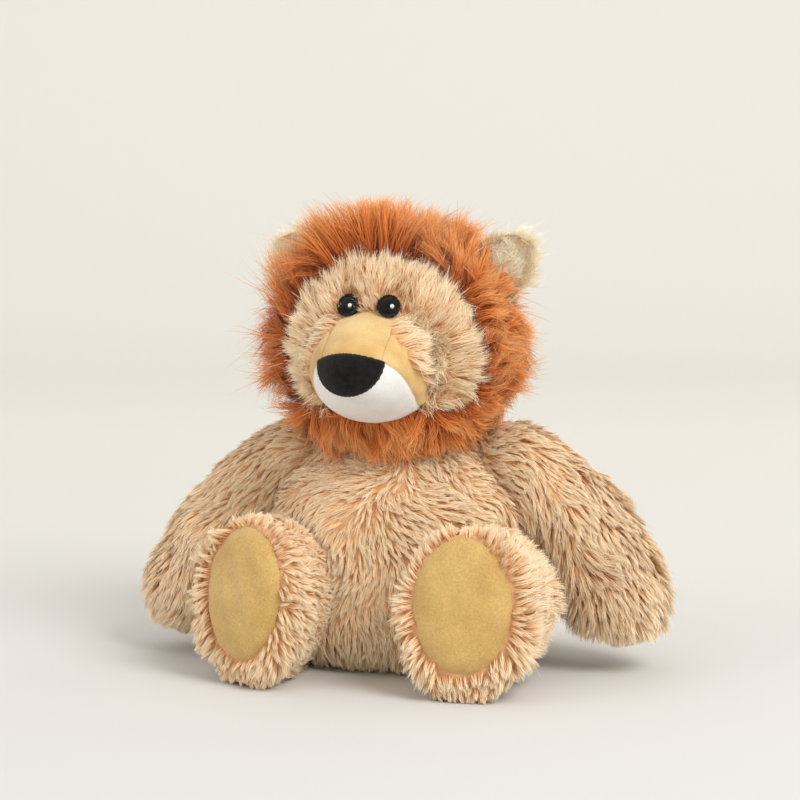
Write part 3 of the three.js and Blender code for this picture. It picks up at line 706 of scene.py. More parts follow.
def metal_material():
    material, tree, shader = new_material("brass_insert", 0.3, 0.5)
    shader.inputs["Metallic"].default_value = 1.0
    tarnish = ramp(tree, noise(tree, own_place(tree), 240, 5),
                   [(0.35, colour(170, 140, 84)), (0.7, colour(206, 180, 118))])
    tree.links.new(tarnish, shader.inputs["Base Color"])
    return material


# Tan pile: its darker, redder roots are partly the plush's own colour and partly painted shade for the warm shadow
# deep in the pile.
TAN = pile_material("tan_fur", [
    (0.0, 218, 152, 98), (0.2, 238, 186, 132), (0.45, 250, 214, 168), (0.75, 255, 232, 196),
    (1.0, 255, 245, 222),
], [(0.0, 0.78, 0.67, 0.57), (0.35, 0.95, 0.91, 0.87), (0.7, 1, 1, 1)])
# Rust mane: its dark roots are partly the mane's own colour and partly painted shade for the shadow deep in the mane.
RUST = pile_material("rust_mane", [
    (0.0, 158, 72, 22), (0.3, 212, 114, 46), (0.65, 238, 152, 78), (1.0, 252, 198, 134),
], [(0.0, 0.6, 0.5, 0.42), (0.35, 0.86, 0.8, 0.76), (0.7, 1, 1, 1)])
BLOND = pile_material("blond_ear_fur", [
    (0.0, 250, 216, 170), (0.4, 255, 242, 208), (1.0, 255, 252, 238),
], [(0.0, 0.96, 0.92, 0.87), (0.5, 1, 1, 1)])
BLACK_PILE = pile_material("black_eye_pile", [(0.0, 10, 9, 9), (1.0, 42, 38, 36)],
                           [(0.0, 0.8, 0.8, 0.8), (1.0, 1, 1, 1)])
# The tan backing shows in the gaps between locks: its colour is partly the cloth's own and partly painted shade for
# the warm shadow there.
TAN_GROUND = cloth_material("tan_backing", (214, 160, 112), (232, 184, 138), 60, grain=500)
BLOND_GROUND = cloth_material("blond_backing", (240, 210, 166), (250, 224, 186), 60, grain=500)
# The rust backing's dark colour is partly the cloth's own and partly painted shade for the shadow between the mane's
# locks.
RUST_GROUND = cloth_material("rust_backing", (142, 62, 18), (176, 86, 32), 60, grain=500)
MUSTARD = cloth_material("mustard_velour", (216, 172, 104), (242, 208, 144), 42, bump=0.25)
WHITE = cloth_material("white_velour", (238, 236, 234), (250, 249, 247), 40, bump=0.2, sheen=0.15)
SUEDE = cloth_material("sole_suede", (214, 174, 104), (228, 190, 121), 45, bump=0.9, grain=1100, tiny=850)
BLACK = cloth_material("black_pile", (14, 12, 12), (30, 27, 26), 300, bump=0.9, grain=1400, sheen=0.1)
GLINT = cloth_material("white_thread", (225, 225, 228), (250, 250, 250), 900, bump=0.4, grain=2500)
GREY_THREAD = cloth_material("grey_thread", (96, 94, 96), (128, 126, 128), 900, bump=0.4, grain=2500)
BRASS = metal_material()
LINING = cloth_material("cotton_lining", (226, 214, 190), (238, 228, 206), 20, bump=0.4, grain=1800)
TAPE = cloth_material("hook_and_loop_tape", (190, 164, 124), (214, 190, 150), 200, bump=0.9, grain=1100)
STUFFING = cloth_material("polyester_stuffing", (230, 228, 222), (250, 248, 244), 90, bump=0.9, grain=300)
RUBBER = cloth_material("red_rubber", (128, 36, 26), (150, 48, 36), 30, bump=0.15, grain=700,
                        roughness=0.45, sheen=0.0)
DARK_RUBBER = cloth_material("black_rubber", (34, 32, 30), (46, 43, 41), 80, bump=0.2,
                             roughness=0.6, sheen=0.0)


# Camera, light and stage, in metres

def aimed(thing, place, aim):
    thing.location = place
    thing.rotation_euler = (Vector(aim) - thing.location).to_track_quat("-Z", "Y").to_euler()


def set_camera():
    data = bpy.data.cameras.new("camera")
    data.lens = 117
    data.sensor_width = 36
    camera = placed("camera", data)
    aimed(camera, (0.4534, -1.3954, 0.3119), (-0.0044, -0.0014, 0.147))
    bpy.context.scene.camera = camera


def set_stage():
    """A floor that curves up into a backdrop. It is painted a little darker in front: painted shade that evens out the
    lamps' stronger light there.
    """
    depth, height, radius, half = 1.6, 2.6, 0.8, 4.0
    angles = [math.pi / 2 * i / 12 for i in range(13)]
    curve = [(depth + radius * math.sin(a), radius - radius * math.cos(a)) for a in angles]
    profile = [(-3.0, 0.0), *curve, (depth + radius, height)]
    points = [(x, y, z) for y, z in profile for x in (-half, half)]
    faces = [(2 * i, 2 * i + 1, 2 * i + 3, 2 * i + 2) for i in range(len(profile) - 1)]
    mesh = bpy.data.meshes.new("floor")
    mesh.from_pydata(points, [], faces)
    mesh.polygons.foreach_set("use_smooth", [True] * len(faces))
    material, tree, shader = new_material("cream_floor", 0.95, 0.05)
    split = node(tree, "SeparateXYZ", {"Vector": own_place(tree)}).outputs
    back = node(tree, "MapRange", {"Value": split["Y"]}, {"From Min": -0.4, "From Max": 1.0})
    # painted shade: darker in front, where the lamps light the floor more strongly
    shade = ramp(tree, back.outputs["Result"], [(0.0, colour(220, 220, 220)), (1.0, colour(241, 240, 236))])
    tree.links.new(shade, shader.inputs["Base Color"])
    mesh.materials.append(material)
    floor = placed("floor", mesh)
    floor.rotation_euler = (0, 0, math.radians(18))
    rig.stage(floor)


def area_light(name, place, size, power, tint):
    data = bpy.data.lights.new(name, "AREA")
    data.shape = "DISK"
    data.size, data.energy, data.color = size, power, tint
    aimed(placed(name, data), place, (0, 0, 0.1))


def set_lights():
    area_light("key", (1.8, -1.2, 1.9), 1.5, 46, (1.0, 0.985, 0.965))
    area_light("fill", (-1.7, -1.8, 1.1), 1.6, 9, (1.0, 0.99, 0.975))
    world = bpy.data.worlds.new("studio")
    world.use_nodes = True
    background = world.node_tree.nodes["Background"]
    background.inputs["Color"].default_value = colour(250, 247, 240)
    background.inputs["Strength"].default_value = 0.76
    bpy.context.scene.world = world


set_camera()
set_stage()
set_lights()
bpy.context.scene.view_settings.view_transform = "Standard"


# Skins under the pile

# Between these two places a limb's cloth and pile pass from the torso to the limb
SHOULDER_BEND = {"arm_left": ((60, 0, 122), (86, 0, 112)), "arm_right": ((-60, 0, 122), (-86, 0, 112))}
HIP_BEND = {"leg_left": ((62, -44, 46), (64, -74, 46)), "leg_right": ((-60, -44, 46), (-56, -74, 46))}
LIMB_BEND = {**SHOULDER_BEND, **HIP_BEND}

SKINS = {name: Skin(FORMS[name], SKIN) for name in ("torso", *LIMB_BEND)}
SKINS["face"] = Skin(head_form(5), 0)
SKINS["mane"] = Skin(head_form(10), 0)
SKINS["muzzle"] = Skin(FORMS["muzzle"], 0, 48, 72)
for name in EARS:
    SKINS[name] = Skin(FORMS[name], 5.5, 32, 40)
SKINS["tail"] = Skin(FORMS["tail"], 2, 32, 24)
SKINS["tail_tuft"] = Skin(FORMS["tail_tuft"], 7, 24, 24)


def seam_half(z):
    """Half the width of the flap's cloth between the flap's top edge and its seam."""
    return FLAP_HALF - 0.5 - 1.3 * np.maximum(z - FLAP_TOP + 2, 0)


def in_seam(points):
    """Where the flap's cloth runs up to its seam."""
    x, y, z = points.T
    return (z >= FLAP_TOP - 0.5) & (z < FLAP_SEAM) & (np.abs(x) < seam_half(z)) & (y > SEAM_FRONT)


def box_distance(points, half, low, high, front):
    """How far inside an upright patch of the back points lie, negative outside."""
    x, y, z = points.T
    return np.minimum.reduce([half - np.abs(x), z - low, high - z, y - front])


def in_flap(points, allowance):
    """Where the back flap lies on the torso."""
    return box_distance(points, FLAP_HALF, FLAP_BOTTOM, FLAP_TOP, FLAP_FRONT) > -allowance


def backing(name, body, slot, ground, replaced, fill, shape=None, bend=None):
    """The stuffed cloth under the pile: the whole skin, unless a shape is given."""
    points, tris = shape or (SKINS[name].points, SKINS[name].tris)
    piece = mesh_piece(f"{name}_backing", points, tris, body, slot, ground, replaced, bend)
    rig.padded(piece, fill=fill)


def backings():
    torso, face, mane = SKINS["torso"], SKINS["face"], SKINS["mane"]
    window = box_distance(torso.points, FLAP_HALF - WINDOW_LEDGE, FLAP_BOTTOM + WINDOW_LEDGE,
                          FLAP_TOP - WINDOW_LEDGE, WINDOW_FRONT)
    backing("torso", "torso", "fur_tan", TAN_GROUND, "torso_cover", 0.6,
            clipped(torso.points, torso.tris, -window))
    for name, bend in LIMB_BEND.items():
        backing(name, name, "fur_tan", TAN_GROUND, f"{name}_cover", 0.6, bend=bend)
    backing("face", "head", "fur_tan", TAN_GROUND, "face_panel", 0.8,
            clipped(face.points, face.tris, FACE_EDGE + 4 - face.points[:, 1]))
    round_face = np.maximum(mane.points[:, 1] - FACE_EDGE, FACE_BOTTOM - mane.points[:, 2])
    backing("mane", "head", "mane_rust", RUST_GROUND, "mane_hood", 0.8,
            clipped(mane.points, mane.tris, round_face))
    for name in EARS:
        backing(name, "head", "fur_tan", BLOND_GROUND, name, 0.4)
    backing("tail", "tail", "fur_tan", TAN_GROUND, "tail", 0.5)
    backing("tail_tuft", "tail", "mane_rust", RUST_GROUND, "tail_tuft", 0.5)


backings()


# Fur

part_swirl = field(11, 75)
small_swirl = field(12, 26)
tone_field = field(13, 60)
length_field = field(14, 34)


def ways(x, y, z):
    """Directions from their parts, each of them one number or one for each place."""
    return np.stack(np.broadcast_arrays(x, y, z), 1)


def combed(points, normals, target, seed, swirl, ruffled=0.16):
    """The way the pile lies: a target direction along the skin, brushed aside by smooth random fields."""
    rng = np.random.default_rng(seed)
    flow = unit(target - normals * (target * normals).sum(1, keepdims=True))
    aside = swirl * (0.7 * part_swirl(points) + 0.6 * small_swirl(points))
    aside = (aside + rng.normal(scale=ruffled, size=len(points)))[:, None]
    return flow * np.cos(aside) + np.cross(normals, flow) * np.sin(aside)


def body_fur(points, normals, target, seed, length=11.5, lift=0.55, per_lock=14, swirl=0.5, spread=1.5,
             gather=0.58, width=0.42, tip_drop=0.75, stray=0.05, ruffled=0.2, paler=0.0, **more):
    """Locks that point along the combed target, with length, lift and tone varied smoothly and at random."""
    flow = combed(points, normals, target, seed, swirl, ruffled)
    rng = np.random.default_rng(seed + 1)
    lengths = length * (1 + 0.14 * length_field(points) + rng.normal(scale=0.08, size=len(points)))
    lifts = lift + 0.16 * small_swirl(points + 40) + rng.normal(scale=0.1, size=len(points))
    tone = 0.56 + paler + 0.12 * tone_field(points) + rng.normal(scale=0.1, size=len(points))
    return strands(points, normals, flow, lengths, lifts, seed + 2, per_lock=per_lock, spread=spread,
                   gather=gather, width=width, tone=tone, tip_lift=lifts - tip_drop, stray=stray, **more)


def places(name, spacing, keep, seed, covers=(), depth=12):
    """Places for roots on a skin that lie no deeper than that in the skins that cover it."""
    points, normals, along = spread_roots(SKINS[name], spacing, keep, seed)
    for cover in covers:
        free = SKINS[cover].depth_of(points) < depth
        points, normals, along = points[free], normals[free], along[free]
    return points, normals, along


BODY_SPACING = 2.5


def torso_fur():
    points, normals, _ = places("torso", BODY_SPACING, lambda p: ~in_flap(p, -0.5) & ~in_seam(p), 21,
                                [*LIMB_BEND, "mane"])
    x, _, z = points.T
    under = np.clip(-normals[:, 2], 0, 1)  # 1 where it faces the floor
    outward = np.tanh((x + 16 * part_swirl(points + 90)) / 26) * np.clip((z - 35) / 45, 0.15, 1.5)
    grown = body_fur(points, normals, ways(outward, -0.05, -0.8), 22, swirl=0.65,
                     lift=0.55 - 0.15 * under, tip_drop=0.75 - 0.6 * under)
    fur_piece("torso_fur", [grown], "torso", "fur_tan", TAN)


def arm_fur():
    for seed, (name, bend) in enumerate(SHOULDER_BEND.items()):
        points, normals, along = places(name, BODY_SPACING, lambda p: p[:, 2] > 2, 31 + seed,
                                        ["torso", "mane"], 14)
        over_end = points[:, 2] - FORMS[name]["spine"][2][2]
        paw = np.clip(1 - over_end / 34, 0, 1)  # 1 at the end of the paw
        low = np.clip((105 - points[:, 2]) / 55, 0, 1)  # 1 from half way down
        # 1 low on the side that faces the body
        inner = low * np.clip(-2 * normals[:, 0] * np.sign(points[:, 0]), 0, 1)
        length = np.minimum(12 + 3 * low + 2 * paw + 5 * inner, 1 + np.maximum(over_end, 4))
        grown = body_fur(points, normals, along + (0, 0, -0.35), 41 + 5 * seed, length=length,
                         swirl=0.45, lift=0.62 + 0.3 * low - 0.15 * paw + 0.2 * inner, tuft=6, pull=0.2)
        fur_piece(f"{name}_fur", [grown], name, "fur_tan", TAN, bend)


def sole_frame(name):
    """The middle of a foot's sole, the way it faces, and its sideways direction."""
    sign, sole_out, splay = LEG_POSE[name]
    sole = np.array([sign * sole_out, -FOOT_FORWARD, SOLE_HEIGHT + PAD_RISE])
    axis = np.array([sign * math.sin(splay), -math.cos(splay), 0])
    return sole, axis, np.array([-axis[1], axis[0], 0])


def pad_radius(points, name):
    """Distance from the middle of the sole's pad, 1 at its edge."""
    sole, _, side = sole_frame(name)
    offset = points - sole
    return np.hypot(offset @ side / PAD_HALF_WIDTH, offset[:, 2] / PAD_HALF_HEIGHT)


def leg_fur():
    for seed, (name, bend) in enumerate(HIP_BEND.items()):
        sole, axis, _ = sole_frame(name)

        def wanted(points):
            return (pad_radius(points, name) >= 0.99) | ((points - sole) @ axis <= -30)

        points, normals, along = places(name, BODY_SPACING, wanted, 51 + seed,
                                        ["torso", "arm_left", "arm_right"])
        offset = points - sole
        forward = offset @ axis
        near = np.clip(1 + forward / 30, 0, 1)  # 1 at the sole
        beside = pad_radius(points, name) - 1
        rim = np.exp(-np.maximum(beside, 0) / 0.16) * (forward > -26)  # 1 at the pad's edge
        radial = unit(offset - forward[:, None] * axis)
        target = -along * (1 - near)[:, None] + near[:, None] * (radial + 0.2 * axis) + (0, 0, -0.12)
        length = (12 - 3 * np.exp(-np.maximum(beside, 0) / 0.08)) * np.clip(0.2 + points[:, 2] / 26, 0.6, 1)
        under = np.clip(-normals[:, 2], 0, 1) * (points[:, 2] < 12)  # 1 where it lies on the floor
        # 1 on the hip's outer side
        outer = np.clip((np.abs(points[:, 0]) - HIP_OUT - 18) / 12, 0, 1) * (1 - near)
        length = length * (1 + 0.45 * outer)
        grown = body_fur(points, normals, target, 61 + 5 * seed, length=length, swirl=0.6, ruffled=0.35,
                         lift=(0.6 + 0.2 * near + 0.5 * rim + 0.3 * outer) * (1 - 0.3 * under),
                         tip_drop=0.75 - 0.6 * under, tuft=6, pull=0.25)
        fur_piece(f"{name}_fur", [grown], name, "fur_tan", TAN, bend)


def from_eyes(x, z):
    """Distance in the front view from the nearer eye's middle."""
    return np.hypot(np.abs(x) - EYE_SPACING / 2, z - HEAD_CENTRE[2] - EYE_RISE)


def muzzle_radius(x, z):
    """Distance in the front view from the muzzle's axis, 1 at its edge."""
    return np.hypot(x / MUZZLE_HALF_WIDTH, (z - MUZZLE_AXIS) / MUZZLE_HALF_HEIGHT)


# Half the width of the muzzle's cloth that the pile leaves free, at heights over the muzzle's axis
CLOTH_HEIGHTS = (-22, -10, 0, 12, 24)
CLOTH_HALF_WIDTHS = (30.5, 33, 31, 24, 14)


def shoulder_fur():
    """The face's pile where it climbs the muzzle's shoulders."""
    def wanted(points):
        x, y, z = points.T
        free = np.interp(z - MUZZLE_AXIS, CLOTH_HEIGHTS, CLOTH_HALF_WIDTHS)
        return (np.abs(x) > free) & (y > -92) & (from_eyes(x, z) > EYE_RADIUS)

    points, normals, _ = places("muzzle", 2.0, wanted, 75)
    x, _, z = points.T
    # Its tone is raised (paler): painted light against the shade in which its roots show.
    return body_fur(points, normals, ways(x, -8, z - MUZZLE_AXIS), 76, length=13, lift=0.5, per_lock=18,
                    swirl=0.4, spread=1.7, width=0.36, gather=0.45, tip_drop=0.5, stray=0.08, loose=0.08,
                    tuft=6, pull=0.35, ruffled=0.35, paler=0.25)


def face_fur():
    def wanted(points):
        x, y, z = points.T
        return ((y < FACE_EDGE + 3) & (z > FACE_BOTTOM + 1) & (muzzle_radius(x, z) >= 0.97)
                & (from_eyes(x, z) > EYE_RADIUS - 1))

    points, normals, _ = places("face", 2.3, wanted, 71)
    x, _, z = points.T
    beside = muzzle_radius(x, z) - 1
    away = np.maximum(from_eyes(x, z) - EYE_RADIUS, 0)
    # 1 beside the muzzle and the eyes, where the pile is shorter and stands up
    close = np.maximum(np.exp(-np.maximum(beside, 0) / 0.14), np.exp(-away / 5))
    # Beside the muzzle and the eyes the tone is also raised (paler): painted light against the shade where the short
    # pile stands up.
    grown = body_fur(points, normals, ways(x, 0, z - MUZZLE_AXIS + 4), 72, length=15 - 7 * close,
                     lift=0.62 + 0.68 * close, per_lock=16, swirl=0.45, spread=1.8, width=0.36, gather=0.42,
                     tip_drop=0.5 - 0.35 * close, stray=0.09, loose=0.08, tuft=7, pull=0.4, ruffled=0.35,
                     paler=0.12 + 0.15 * close)
    fur_piece("face_fur", [grown, shoulder_fur()], "head", "fur_tan", TAN)


def mane_fur():
    def wanted(points):
        return ((points[:, 1] > FACE_EDGE - 1) | (points[:, 2] < FACE_BOTTOM)) & (points[:, 2] > MANE_BOTTOM)

    points, normals, _ = places("mane", 4.0, wanted, 81, ["torso"], 4)
    x, y, z = points.T
    # From 0 to 1 towards the back, the top and the bottom of the head
    back = np.clip((y - FACE_EDGE) / 50, 0, 1)
    top = np.clip((z - HEAD_CENTRE[2]) / 50, 0, 1)
    low = np.clip((HEAD_CENTRE[2] - z) / 50, 0, 1)
    target = ways(x, 0, z - HEAD_CENTRE[2]) / 40
    target = target + ways(0, 0.5 + 0.3 * back - 0.8 * low * (1 - back), -0.9 * back - 0.5 * low)
    flow = combed(points, normals, target, 82, swirl=1.1, ruffled=0.6)
    rng = np.random.default_rng(83)
    length = 1 + 0.22 * length_field(points) + rng.normal(scale=0.16, size=len(points))
    length = (24 + 5 * top - 5 * low) * length
    length *= 1 - 0.28 * np.clip(x / 60, -0.4, 1)  # shorter on the lion's left
    lift = 0.95 + 0.25 * top - 0.2 * back * (1 - top) - 0.4 * low + rng.normal(scale=0.2, size=len(points))
    tone = 0.56 + 0.18 * tone_field(points * 2) + rng.normal(scale=0.14, size=len(points))
    grown = strands(points, normals, flow, length, lift, 84, per_lock=38, spread=3.4, gather=0.4, width=0.32,
                    droop=0.15 + 0.25 * low, wave=2.2, tone=tone, tip_lift=lift - 0.95 + 0.4 * top,
                    stray=0.1, loose=0.05, tuft=9, pull=0.42)
    # Every fifth place has a few longer wisps too
    some = [values[::5] for values in (points, normals, flow, length * 1.2, lift + 0.1)]
    wisps = strands(*some, 85, per_lock=12, spread=2.5, gather=0.7, width=0.3, droop=0.1, wave=3.0,
                    tone=tone[::5] + 0.2, tip_lift=lift[::5] - 0.6, stray=0.1, loose=0.1)
    for corners, _ in (grown, wisps):
        over = np.maximum(corners[..., 2] - MANE_TOP, 0)
        corners[..., 2] -= over * over / (over + 16)
    fur_piece("mane_fur", [grown, wisps], "head", "mane_rust", RUST)


def ear_fur():
    for seed, name in enumerate(EARS):
        points, normals, along = places(name, 2.3, lambda p: p[:, 2] > 0, 91 + seed, ["mane"], 6)
        grown = body_fur(points, normals, along, 95 + seed, length=12, lift=0.42, per_lock=20, swirl=0.9,
                         width=0.3, spread=2.1, gather=0.25, stray=0.13, loose=0.1, tuft=6, pull=0.3,
                         ruffled=0.7)
        fur_piece(f"{name}_fur", [grown], "head", "fur_tan", BLOND)


def tail_fur():
    points, normals, along = places("tail", 2.8, lambda p: p[:, 1] > 66, 101)
    grown = body_fur(points, normals, along, 102, length=8, lift=0.5, per_lock=9, swirl=0.2, spread=1.8)
    fur_piece("tail_fur", [grown], "tail", "fur_tan", TAN)
    points, normals, along = places("tail_tuft", 2.8, lambda p: p[:, 2] > 0, 103)
    flow = combed(points, normals, along + (-0.4, 0, 0), 104, 0.4)
    grown = strands(points, normals, flow, 14.0, 0.6, 105, per_lock=26, spread=2.4, gather=0.55, width=0.34,
                    wave=1.0, stray=0.13, loose=0.1, tuft=7)
    fur_piece("tail_tuft_fur", [grown], "tail", "mane_rust", RUST)


torso_fur()
arm_fur()
leg_fur()
face_fur()
mane_fur()
ear_fur()
tail_fur()


# Muzzle and nose

def nose_outline():
    half, bottom = NOSE_HALF, MUZZLE_AXIS + NOSE_BOTTOM
    shoulder, corner = MUZZLE_AXIS + NOSE_SHOULDER, MUZZLE_AXIS + NOSE_CORNER
    top = curve_points([(-half, shoulder), (0, MUZZLE_AXIS + 2 * NOSE_TOP - NOSE_SHOULDER), (half, shoulder)])
    right = curve_points([(half, shoulder), (half, corner), (half / 2, bottom), (0, bottom)])
    left = curve_points([(0, bottom), (-half / 2, bottom), (-half, corner), (-half, shoulder)])
    return top + right + left


def chin_outline():
    top, cheek = MUZZLE_AXIS + NOSE_SHOULDER, MUZZLE_AXIS - MUZZLE_HALF_HEIGHT / 2
    under = MUZZLE_AXIS - MUZZLE_HALF_HEIGHT - 6
    right = curve_points([(BRIDGE_HALF, top), (CHIN_HALF, MUZZLE_AXIS), (CHIN_HALF, cheek)])
    left = curve_points([(-CHIN_HALF, cheek), (-CHIN_HALF, MUZZLE_AXIS), (-BRIDGE_HALF, top)])
    return right + [(CHIN_HALF, cheek), (CHIN_UNDER, under), (-CHIN_UNDER, under)] + left


def muzzle_pieces():
    points, _, tris = form_surface(FORMS["muzzle"], 130, 200)
    normals = vertex_normals(points, tris)
    x, _, z = points.T
    chin = outline_distance(x, z, chin_outline())
    bridge = np.minimum.reduce([BRIDGE_HALF - np.abs(x), z - MUZZLE_AXIS, -chin])
    cheeks = np.minimum(np.maximum(np.abs(x) - BRIDGE_HALF, MUZZLE_AXIS - z), -chin)
    for name, inside, material, slot, groove in (
        ("muzzle_bridge", bridge, MUSTARD, "velour_mustard", 0.9),
        ("muzzle_cheek_left", np.minimum(cheeks, x), MUSTARD, "velour_mustard", 0.9),
        ("muzzle_cheek_right", np.minimum(cheeks, -x), MUSTARD, "velour_mustard", 0.9),
        ("chin_panel", chin, WHITE, "velour_white", 0.7),
    ):
        sink = groove * np.exp(-(inside / 0.9) ** 2)
        formed, faces = clipped(points - normals * sink[:, None], tris, inside + 0.12)
        piece = mesh_piece(f"{name}_cloth", formed, faces, "head", slot, material, name)
        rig.padded(piece, fill=0.8)
    scallop = 0.12 * np.sin(np.arctan2(z - MUZZLE_AXIS, x) * 34)
    inside = outline_distance(x, z, nose_outline()) + 0.4 + scallop
    raised = 2.0 * np.sqrt(np.clip(inside / 1.8, 0, 1))
    formed, faces = clipped(points + normals * raised[:, None], tris, inside)
    mesh_piece("nose_cloth", formed, faces, "head", "nose_black", BLACK, "nose")


muzzle_pieces()


# Eyes: black discs of short pile with a stitched glint

EYE_SURFACE = (66, 62, 62)  # half sizes of the face's pile round the head's centre
EYE_RISEN = 1.6  # from the rim of the disc to its middle
EYE_DISC = EYE_RADIUS - 0.5  # without the pile at its edge


def eye_place(x, rise):
    """A point of the face's pile, and its normal and the ways right and up there."""
    a, b, c = EYE_SURFACE
    y = -b * math.sqrt(1 - (x / a) ** 2 - (rise / c) ** 2)
    normal = unit(np.array([x / a ** 2, y / b ** 2, rise / c ** 2]))
    right = unit(np.cross(-normal, [0, 0, 1.0]))
    return HEAD_CENTRE + (x, y, rise), normal, right, np.cross(right, -normal)


def disc(middle, normal, right, up, radius, height, edge_drop, rings=10, sides=48, wobble=0.0, turn=0.0):
    """A domed disc with its edge turned down: its points and faces."""
    points = [middle + normal * height]
    for ring in range(1, rings + 1):
        share = ring / rings
        for k in range(sides):
            angle = 2 * math.pi * k / sides
            own = radius * share * (1 + wobble * share ** 4 * math.sin(9 * angle + turn))
            rise = height * (1 - share ** 2) - edge_drop * share ** 8
            points.append(middle + right * own * math.cos(angle) + up * own * math.sin(angle) + normal * rise)
    faces = [(0, 1 + k, 1 + (k + 1) % sides) for k in range(sides)]
    for ring in range(rings - 1):
        faces += band(1 + ring * sides, 1 + (ring + 1) * sides, sides)
    return np.array(points), faces


def eyes():
    for name, sign, seed in (("eye_left", 1, 8), ("eye_right", -1, 9)):
        middle, normal, right, up = eye_place(sign * EYE_SPACING / 2, EYE_RISE)
        middle = middle - normal * 0.4  # its rim lies in the pile
        points, faces = disc(middle, normal, right, up, EYE_DISC, EYE_RISEN, 3.0, wobble=0.01, turn=sign)
        mesh_piece(f"{name}_disc", points, faces, "head", "eye_black", BLACK, name)
        for part, x, z, lift, radius, material in (
            ("ring", 1.6, -0.7, 1.15, 2.1, GREY_THREAD), ("glint", 1.9, -0.5, 1.35, 1.45, GLINT),
        ):
            spot = middle + right * x + up * z + normal * lift
            points, faces = disc(spot, normal, right, up, radius, 0.35, 0.9, rings=5, sides=28, wobble=0.05)
            mesh_piece(f"{name}_{part}", points, faces, "head", "eye_black", material)
        grow_rim(name, middle, normal, right, up, seed)


def grow_rim(name, middle, normal, right, up, seed):
    """Short black pile round an eye's edge."""
    rng = np.random.default_rng(seed)
    count = 420
    angle = rng.uniform(0, 2 * np.pi, count)
    outward = np.cos(angle)[:, None] * right + np.sin(angle)[:, None] * up
    radius = EYE_DISC * np.sqrt(rng.uniform(0.7, 0.98, count))
    points = middle + outward * radius[:, None] + normal * 0.5
    grown = strands(points, np.broadcast_to(normal, points.shape).copy(), outward, 1.1, 0.8, seed + 7,
                    per_lock=6, spread=0.6, gather=0.1, width=0.18, wave=0.1, stray=0.2)
    fur_piece(f"{name}_pile", [grown], "head", "eye_black", BLACK_PILE)


eyes()


# Soles: suede pads in the rims of the feet

def foot_pads():
    rings, sides = 26, 120
    for name in HIP_BEND:
        sole, axis, side = sole_frame(name)
        points, _, tris = form_surface(FORMS[name], 60, 72)
        leg = BVHTree.FromPolygons(points.tolist(), tris.tolist())
        pad = []
        for ring in range(rings + 1):
            share = ring / rings
            for k in range(sides):
                angle = 2 * math.pi * k / sides
                across = share * PAD_HALF_WIDTH * math.cos(angle)
                up = share * PAD_HALF_HEIGHT * math.sin(angle)
                start = sole + side * across + np.array([0, 0, up]) + axis * 60
                hit = leg.ray_cast(Vector(start), Vector(-axis))[0]
                dome = SOLE_RECESS - 1.6 * (1 - share ** 2) + 3.2 * share ** 10
                pad.append(np.array(hit) - axis * dome)
        pad = np.array(pad)
        puckers = 0.35 * small_swirl(pad * 2.2) + 0.25 * tone_field(pad * 6)
        pad = pad + axis * puckers[:, None]
        faces = [(k, sides + k, sides + (k + 1) % sides) for k in range(sides)]
        for ring in range(1, rings):
            faces += band(ring * sides, (ring + 1) * sides, sides)
        piece = mesh_piece(f"{name}_pad", pad, faces, name, "suede_sole", SUEDE,
                           name.replace("leg", "foot_pad"))
        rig.padded(piece, fill=0.7)


foot_pads()


# The back: a flap over the lined pocket of the rubber bottle

def back_grid(place, columns, rows):
    """A grid of places on the torso's back: points, normals and faces.
    place gives x and z for the shares across and up."""
    points, _, tris = form_surface(FORMS["torso"], 90, 140)
    back = BVHTree.FromPolygons(points.tolist(), tris.tolist())
    spots = [place(column / columns, row / rows) for row in range(rows + 1) for column in range(columns + 1)]
    grid = [back.ray_cast(Vector((x, 200, z)), Vector((0, -1, 0)))[0][:] for x, z in spots]
    first = [row * (columns + 1) + column for row in range(rows) for column in range(columns)]
    faces = [(a, a + columns + 1, a + columns + 2, a + 1) for a in first]
    tris = np.array([t for a, b, c, d in faces for t in ((a, b, c), (a, c, d))])
    grid = np.array(grid)
    return grid, vertex_normals(grid, tris), faces


FLAP_BEND = ((0, 50, FLAP_SEAM - 1), (0, 50, FLAP_TOP - 1))


def back_flap():
    """The flap's fur backing and its lining, joined in a rolled edge, and its pile."""
    def place(across, up):
        z = FLAP_BOTTOM + 0.5 + (FLAP_SEAM - FLAP_BOTTOM - 0.5) * up
        return seam_half(z) * (2 * across - 1), z

    grid, normals, faces = back_grid(place, 60, 56)
    inset = np.minimum(seam_half(grid[:, 2]) - np.abs(grid[:, 0]), grid[:, 2] - FLAP_BOTTOM - 0.5)
    rolled = np.exp(-inset / 1.1)
    middle = (FLAP_SKIN + FLAP_THICKNESS) / 2
    crease = 0.25 * small_swirl(grid * 1.5) * (1 - rolled)
    for name, depth, material, slot, replaced in (
        ("flap_backing", FLAP_SKIN, TAN_GROUND, "fur_tan", "back_flap"),
        ("flap_lining", FLAP_THICKNESS - 0.1, LINING, "lining", None),
    ):
        sink = depth + (middle - depth) * rolled + crease
        outward = faces if depth < middle else [face[::-1] for face in faces]
        mesh_piece(name, grid - normals * sink[:, None], outward, "flap", slot, material, replaced, FLAP_BEND)
    points, normals, _ = places("torso", 2.3, lambda p: in_flap(p, 0.5) | in_seam(p), 111)
    points = points + normals * (SKIN - FLAP_SKIN)
    target = ways(0.3 * np.tanh(points[:, 0] / 26), 0.05, -0.8)
    grown = body_fur(points, normals, target, 112, length=10.5, lift=0.5, per_lock=16, swirl=0.5, spread=1.9)
    fur_piece("flap_fur", [grown], "flap", "fur_tan", TAN, FLAP_BEND)


